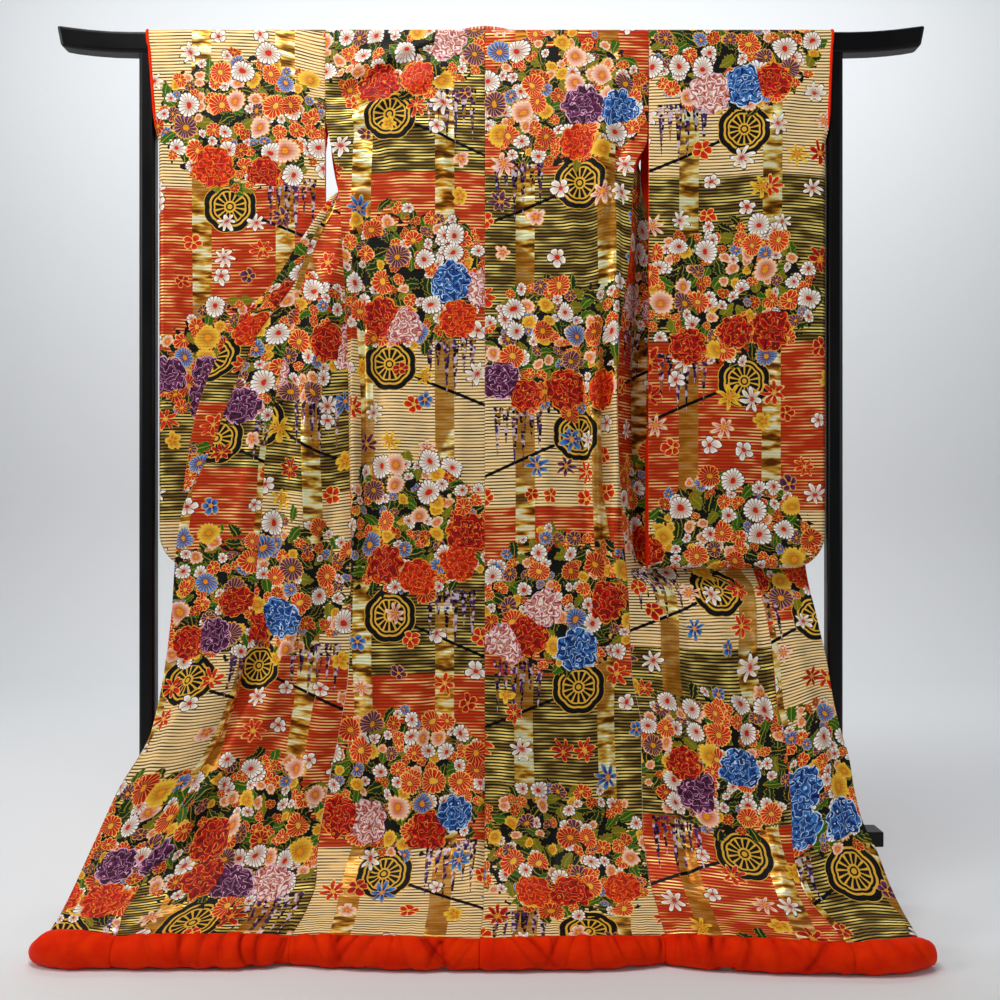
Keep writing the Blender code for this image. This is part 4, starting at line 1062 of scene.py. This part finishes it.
# Clear space that keeps the linings of sewn panels apart
FRONT_CLEARANCE = 0.0003
SIDE_SEAM_TOP = {"left": 1.352, "right": 1.42}
OVERLAP_TOP = 1.42
COLLAR_END = 0.78
FOLDS_SHOWN_BELOW = {"left": 1.30, "right": 0.60}
FRONT_CREASES = metres(
    (-330, 1180, -360, 760, 12, 4.4),
    (-372, 1060, -420, 600, 13, -4),
    (-430, 1000, -500, 640, 13, 3.8),
    (-300, 900, -330, 480, 11, -4.8),
    (-350, 640, -450, 300, 14, 6.2),
    (-410, 560, -530, 260, 14, -6),
    (-500, 640, -600, 330, 14, 5),
    (-560, 420, -680, 160, 16, 6),
    (-480, 330, -600, 120, 15, 5.8),
    (-360, 320, -420, 110, 14, -6),
    (-440, 240, -500, 90, 12, 5.2),
    (-640, 260, -710, 110, 13, -4.8),
    (330, 560, 350, 260, 13, 6),
    (372, 600, 392, 300, 12, -5.6),
    (440, 560, 470, 240, 14, 5.2),
    (520, 580, 540, 260, 12, -5),
    (580, 560, 620, 260, 14, 5.2),
    (350, 280, 362, 100, 12, -5.2),
    (500, 260, 520, 100, 13, 5.4),
    (640, 300, 670, 120, 12, -4.6),
)


def front_keys(side):
    """Side, middle, overlap seam, collar seam and free edge of every row of a front."""
    table = smooth_table(FRONT_LEFT if side == "left" else FRONT_RIGHT, HEIGHTS)
    back = smooth_table(BACK, HEIGHTS)
    sewn = HEIGHTS <= SIDE_SEAM_TOP[side]
    table[sewn, 0:2] = back[sewn, 0:2] if side == "left" else back[sewn, 5:7]
    rows = zip(HEIGHTS, table)
    return np.array([[(row[i], row[i + 1], z) for i in (0, 2, 4, 6, 8)] for z, row in rows])


def front_shown(points, side):
    """Where the front faces the viewer, and close to the side seam, the broad folds show."""
    z = points[..., 2]
    fade = clamp((FOLDS_SHOWN_BELOW[side] - z) / 0.06)
    near = np.exp(-(((points[..., 0] - points[:, :1, 0]) / 0.03) ** 2)) * clamp((1.36 - z) / 0.04)
    return np.maximum(fade, near * clamp((1.66 - z) / 0.06))


for side, sign in (("left", -1), ("right", 1)):
    keys = front_keys(side)
    share = columns(FRONT_WIDTH)
    inner_edge = CENTRE_BACK + sign * NECK_HALF_WIDTH
    rows = []
    for length in OVER_BAR_ROWS + BELOW_BAR_ROWS:
        out, height = over_bar(max(length, SEAM_GAP / 2))
        start = SHOULDER_EDGE[side] - sign * SEAM_GAP / 2
        blend_down = min(1.0, length / OVER_BAR_ROWS[-1])
        stop = inner_edge + sign * (0.012 * blend_down + 0.001)
        if length > OVER_BAR_ROWS[-1]:
            low = (length - OVER_BAR_ROWS[-1]) / (OVER_BAR[-1][0] - OVER_BAR_ROWS[-1])
            stop += low * (keys[0, 2, 0] - stop)
            out = out + low * (keys[0, 2, 1] - out) * share**2
        x = start + share * (stop - start)
        rows.append(np.c_[x, out + 0 * x, height + 0 * x])
    rows += [across(row, 0, 2, share, FRONT_CLEARANCE, SEAM_GAP / 2) for row in keys]
    panel = np.array(rows)
    panel = settle(panel, sign, FRONT_CREASES, front_shown(panel, side))
    aside, down = lengths_of(panel)
    cloth_piece("front_" + side, panel, aside, down.mean(axis=1), sign)
    share = columns(OVERLAP_WIDTH)
    first = int(np.argmax(HEIGHTS <= OVERLAP_TOP))
    strip = np.array([across(row, 2, 3, share, SEAM_GAP / 2, SEAM_GAP / 2) for row in keys[first:]])
    strip = settle(strip, sign, FRONT_CREASES, front_shown(strip, side))
    top = down[len(OVER_BAR_ROWS + BELOW_BAR_ROWS) + first].mean()
    aside, down = lengths_of(strip)
    cloth_piece("overlap_" + side, strip, aside + OVERLAP_CUT_FROM, down.mean(axis=1) + top, sign)

# Collar: one long band in two halves that meet at the centre back. It stands up round the
# neck, folded double, and runs down the free edge of each front to a narrow end.
COLLAR_WIDTH = 0.06
COLLAR_CUT_FROM = 0.12
COLLAR_CLEARANCE = 0.0004
COLLAR_CROWN = 0.0016
# x y z of the neck seam, of the crest and of the free edge, each x from the centre seam
NECK_COLLAR = metres(
    (0, -12.5, 1703, 0, 6, 1716, 0, 33, 1701),
    (28, -11.5, 1703, 26, 7, 1714, 20, 34, 1697),
    (56, -5, 1703.5, 50, 11, 1709, 36, 35, 1688),
    (75.5, 3, 1703.2, 65, 16.5, 1706.2, 43, 34.5, 1681),
    (81, 13, 1703, 71, 22.8, 1700.8, 46.5, 34.2, 1676),
    (85, 18.8, 1699, 74.5, 23.8, 1692, 48.5, 33.5, 1671.5),
)

for side, sign in (("left", -1), ("right", 1)):
    keys = []
    for row in NECK_COLLAR:
        keys.append([(CENTRE_BACK + sign * row[i], row[i + 1], row[i + 2]) for i in (0, 3, 6)])
    for row in front_keys(side)[HEIGHTS >= COLLAR_END][::4]:
        keys.append([row[3], (row[3] + row[4]) / 2, row[4]])
    keys = np.array(keys)
    length = np.r_[0.0, np.cumsum(np.linalg.norm(np.diff(keys[:, 1], axis=0), axis=1))]
    rows = math.ceil(length[-1] / ROW_STEP)
    fine_keys = smooth_table(np.c_[length, keys.reshape(-1, 9)], np.linspace(0.0, length[-1], rows))
    share = columns(COLLAR_WIDTH)
    fine_keys = fine_keys.reshape(-1, 3, 3)
    band = np.array([across(row, 0, 2, share, COLLAR_CLEARANCE, 0.0) for row in fine_keys])
    band[0, :, 0] += sign * SEAM_GAP / 2
    shown = front_shown(band, side) * (band[..., 2] < 1.6)
    band[..., 1] -= shown * fold_height(band[..., 0], band[..., 2], BODY_FOLDS)
    crown = COLLAR_CROWN * np.sin(math.pi * share) ** 0.6
    taper = clamp((length[-1] - np.linspace(0.0, length[-1], rows)) / 0.1)
    band += outward(band, sign) * (crown[None, :] * taper[:, None])[..., None]
    aside, down = lengths_of(band)
    cloth_piece("collar_" + side, band, aside + COLLAR_CUT_FROM, down.mean(axis=1), sign)

# Hem pads: the red lining is rolled outwards round wadding along the hem, one length to each
# panel, gathered where it is sewn on and pinched at the panel seams.
PAD_SEAMS = (-0.7790, -0.6270, -0.3350, -0.0160, 0.2950, 0.5970, 0.7440)
PAD_PANELS = (
    "overlap_left", "front_left", "back_left", "back_right", "front_right", "overlap_right",
)
PAD_SIDES = 40
PAD_STEP = 0.0019
PAD_END_ROUND = 0.011
# Depth of the gathers at which the painted shade in the silk is darkest
FULL_PAINTED_SHADE_DEPTH = 0.0066
# Middle and reach of the stretches where the hem is bunched, and how tightly
BUNCHED = (
    (-0.500, 0.090, 0.55),
    (-0.400, 0.085, 1.00),
    (-0.325, 0.030, 0.90),
    (-0.230, 0.080, 0.75),
    (-0.100, 0.090, 0.80),
    (0.070, 0.080, 0.60),
    (0.200, 0.060, 0.70),
    (0.300, 0.035, 0.90),
    (0.400, 0.100, 0.85),
    (0.560, 0.060, 0.55),
    (0.670, 0.050, 0.45),
)
GATHERS = 88
FIRST_GATHER = -0.775


def bunching(x):
    """How tightly the hem is bunched here, from a little to fully."""
    total = 0.16 + 0 * x
    for middle, reach, most in BUNCHED:
        total = np.maximum(total, most * np.exp(-(((x - middle) / reach) ** 2)))
    return total


def off_seam(turn):
    """Nothing at the seam with the cloth, and all of it a little way round the pad."""
    return clamp((np.abs(turn) - 0.10) / 0.40)


def pad_gathers(x, angle):
    """Depth of the gathers round the pad: deepest beside the seam at its back, and slanting."""
    total = np.zeros_like(x + angle)
    turn = (angle - HEM_SEAM_ANGLE + math.pi) % (2 * math.pi) - math.pi
    for k in range(GATHERS):
        middle = FIRST_GATHER + 0.0173 * k + 0.0085 * math.sin(2.4 * k) + 0.005 * math.sin(0.9 * k)
        width = 0.0038 + 0.0012 * math.sin(1.7 * k + 1)
        reach = 2.2 + 1.6 * math.sin(2.3 * k + 0.7) ** 2
        depth = (0.0030 + 0.0052 * math.sin(4.1 * k) ** 2) * bunching(middle)
        lean = middle + 0.0090 * math.sin(0.55 * k) * turn + 0.0035 * math.sin(0.7 * k) * turn**2
        total += depth * np.exp(-np.abs((x - lean) / width) ** 1.2 - (turn / reach) ** 2)
    return total * off_seam(turn)


def hem_pad(name, start, stop):
    """A closed soft roll between two panel seams, flat where it lies on the floor."""
    rings = max(12, math.ceil((stop - start) / PAD_STEP))
    x = np.linspace(start + SEAM_GAP / 2, stop - SEAM_GAP / 2, rings)
    y, radius = smooth_table(ROLL, x).T
    lean = np.gradient(y, x)
    angle = np.linspace(-math.pi, math.pi, PAD_SIDES + 1)
    wave = 1 + (0.030 * np.sin(x * 41 + 0.6) + 0.040 * np.sin(x * 118 + 2)) * (0.5 + bunching(x))
    tips = np.ones_like(x)
    pinch = np.zeros_like(x)
    for edge, tip in ((start, start == PAD_SEAMS[0]), (stop, stop == PAD_SEAMS[-1])):
        near = clamp(abs(x - edge) / PAD_END_ROUND)
        rounded = np.sqrt(clamp(1 - (1 - near) ** 2))
        if tip:
            tips *= rounded
        else:
            pinch += 0.12 * (1 - rounded)
    size = radius * tips
    size[0] = size[-1] = 0.0
    x[1] = x[0] + 0.0002
    x[-2] = x[-1] - 0.0002
    free = off_seam((angle - HEM_SEAM_ANGLE + math.pi) % (2 * math.pi) - math.pi)[None, :]
    change = wave[:, None] - 1 - pinch[:, None] - 0.012 * np.cos(2 * angle)[None, :]
    r = size[:, None] * (1 + change * free)
    r = np.maximum(r - pad_gathers(x[:, None], angle[None, :]) * (size[:, None] > 0), 0.0)
    r = np.minimum(r, size[:, None] * 1.05)
    tilt = np.hypot(1.0, lean)
    place = np.zeros((rings, PAD_SIDES + 1, 3))
    place[..., 0] = x[:, None] - (lean / tilt)[:, None] * r * np.cos(angle)
    place[..., 1] = y[:, None] + (1 / tilt)[:, None] * r * np.cos(angle) + BAR_SETBACK
    place[..., 2] = np.maximum(roll_height(radius)[:, None] + r * np.sin(angle), 0.0)
    place[..., 0] = np.clip(place[..., 0], start + SEAM_GAP / 2, stop - SEAM_GAP / 2)
    bm = bmesh.new()
    bmesh.ops.create_grid(bm, x_segments=rings - 1, y_segments=PAD_SIDES, size=1.0)
    for vert in bm.verts:
        ring = round((vert.co.x + 1) / 2 * (rings - 1))
        step = round((vert.co.y + 1) / 2 * PAD_SIDES)
        vert.co = place[ring, step]
    bmesh.ops.remove_doubles(bm, verts=bm.verts[:], dist=1e-5)
    bmesh.ops.recalc_face_normals(bm, faces=bm.faces[:])
    mesh = bpy.data.meshes.new(name)
    bm.to_mesh(mesh)
    bm.free()
    at = np.zeros(len(mesh.vertices) * 3, np.float32)
    mesh.vertices.foreach_get("co", at)
    at = at.reshape(-1, 3).astype(float)
    # How deep the gathers are at each point, kept on the mesh for the painted shade in the silk
    middle_y, middle_radius = smooth_table(ROLL, at[:, 0]).T
    turn = np.arctan2(at[:, 2] - roll_height(middle_radius), at[:, 1] - BAR_SETBACK - middle_y)
    painted_shade_share = clamp(pad_gathers(at[:, 0], turn) / FULL_PAINTED_SHADE_DEPTH)
    gather = mesh.attributes.new("gather", "FLOAT", "POINT")
    gather.data.foreach_set("value", painted_shade_share.astype(np.float32))
    mesh.materials.append(RED_SILK)
    mesh.shade_smooth()
    pad = set_up("pad_" + name, mesh)
    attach(pad, "root")
    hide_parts(name)


for panel, start, stop in zip(PAD_PANELS, PAD_SEAMS[:-1], PAD_SEAMS[1:]):
    hem_pad("hem_roll_" + panel, start, stop)

# Wrist and lining edges: the lining is rolled outwards round each wrist opening, over
# the bar from the near layer to the far one, and shows as a fine edge down the inner side.
WRIST_EDGE_RADIUS = 0.0030
LINING_EDGE_RADIUS = 0.0013
# Height below which the lining's edge is turned out
LINING_SHOWS = {"left": 1.50, "right": 0.88}


def silk_edge(name, line, radii):
    """A soft roll of lining along an edge."""
    line = np.asarray(line) + np.array([0.0, BAR_SETBACK, 0.0])
    curve = bpy.data.curves.new(name, "CURVE")
    curve.dimensions = "3D"
    curve.bevel_depth = 1.0
    curve.bevel_resolution = 4
    curve.use_fill_caps = True
    spline = curve.splines.new("POLY")
    spline.points.add(len(line) - 1)
    for target, point, radius in zip(spline.points, line, radii):
        target.co = (*point, 1.0)
        target.radius = radius
    holder = set_up("line", curve)
    graph = bpy.context.evaluated_depsgraph_get()
    mesh = bpy.data.meshes.new_from_object(holder.evaluated_get(graph))
    bpy.data.objects.remove(holder)
    bm = bmesh.new()
    bm.from_mesh(mesh)
    bmesh.ops.remove_doubles(bm, verts=bm.verts[:], dist=1e-6)
    bmesh.ops.recalc_face_normals(bm, faces=bm.faces[:])
    bm.to_mesh(mesh)
    bm.free()
    mesh.materials.clear()
    mesh.materials.append(RED_SILK)
    mesh.shade_smooth()
    edge = set_up(name, mesh)
    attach(edge, "root")
    return edge


for side, sign in (("left", -1), ("right", 1)):
    grid = sleeve_grids[side]
    node = "sleeve_" + side
    outer = grid[:, -1]
    wrist = outer[outer[:, 2] > CUFF_END]
    ends = np.minimum(np.arange(len(wrist)), np.arange(len(wrist))[::-1])
    swell = np.clip(ends / 6, 0.25, 1.0)
    swell *= 1 + 0.08 * np.sin(np.arange(len(wrist)) * 0.9)
    silk_edge("wrist_edge_" + side, wrist, WRIST_EDGE_RADIUS * swell)
    half = len(grid) // 2
    for layer, rows in (("near", grid[:half, 0]), ("far", grid[half:, 0])):
        edge = rows[rows[:, 2] < 1.50] + np.array([sign * -0.0004, 0.0, 0.0])
        turned_out = np.clip(1 - (edge[:, 2] - LINING_SHOWS[side]) / 0.06, 0.25, 1.0)
        radii = LINING_EDGE_RADIUS * turned_out
        silk_edge("lining_edge_" + side + "_" + layer, edge, radii)

# Stage: a pale floor that sweeps up into a pale wall, as of one sheet of paper, and soft
# light from large panels. The camera stands level at the photo's distance and height.
SWEEP_HALF_WIDTH = 6.0
SWEEP_FRONT = -5.6
# Lengths along the sweep, from its front edge
FLOOR_RUN = 8.2
BEND_RUN = 1.3
SWEEP_RUN = 13.6
sweep = bmesh.new()
bmesh.ops.create_grid(sweep, x_segments=2, y_segments=80, size=1.0)
for vert in sweep.verts:
    run = (vert.co.y + 1) / 2 * SWEEP_RUN
    bend = clamp((run - FLOOR_RUN) / BEND_RUN) * math.pi / 2
    radius = BEND_RUN / (math.pi / 2)
    y = min(run, FLOOR_RUN) + radius * math.sin(bend) + SWEEP_FRONT
    z = radius * (1 - math.cos(bend)) + max(0.0, run - FLOOR_RUN - BEND_RUN)
    vert.co = (vert.co.x * SWEEP_HALF_WIDTH, y, z)
sweep_mesh = bpy.data.meshes.new("stage_sweep")
sweep.to_mesh(sweep_mesh)
sweep.free()
sweep_mesh.shade_smooth()
stage = set_up("stage_sweep", sweep_mesh)
paper = Recipe("pale_paper", Roughness=0.9)
paper.finish(Base_Color=dye(228, 230, 232))
sweep_mesh.materials.append(paper.made)
stage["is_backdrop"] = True

# Place, aim, size of the panel, watts and colour of each light
for name, place, towards, size, power, colour in (
    ("ceiling_light", (-0.5, -1.0, 2.9), (0.0, 0.0, 0.7), (1.3, 0.5), 36.0, (1.0, 0.97, 0.93)),
    ("window_light", (-2.7, -1.1, 1.9), (0.0, 0.0, 0.9), (0.7, 1.4), 27.0, (1.0, 0.98, 0.95)),
    ("side_light", (2.6, -1.6, 1.5), (0.0, 0.0, 0.8), (0.8, 1.6), 9.0, (0.95, 0.98, 1.0)),
    ("wall_light", (0.0, 1.5, 3.9), (0.0, 3.8, 0.9), (6.0, 0.6), 104.0, (0.97, 0.99, 1.0)),
):
    lamp = bpy.data.lights.new(name, "AREA")
    lamp.shape = "RECTANGLE"
    lamp.size, lamp.size_y = size
    lamp.energy = power
    lamp.color = colour
    holder = set_up(name, lamp)
    holder.location = place
    aim = Vector(towards) - Vector(place)
    holder.rotation_euler = aim.to_track_quat("-Z", "Y").to_euler()
world = bpy.data.worlds.new("soft_room")
world.use_nodes = True
world.node_tree.nodes["Background"].inputs[0].default_value = (0.92, 0.96, 1.0, 1.0)
world.node_tree.nodes["Background"].inputs[1].default_value = 0.17
bpy.context.scene.world = world

CAMERA_AWAY = 1.96
CAMERA_HEIGHT = 0.75
bpy.context.scene.view_settings.view_transform = "Standard"
camera = set_up("camera", bpy.data.cameras.new("camera"))
camera.location = (0.0176, BAR_SETBACK - CAMERA_AWAY, CAMERA_HEIGHT)
camera.rotation_euler = (math.radians(90), 0.0, 0.0)
camera.data.lens = 36.0
camera.data.sensor_width = 36.0
camera.data.shift_y = 0.019
bpy.context.scene.camera = camera

low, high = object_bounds()
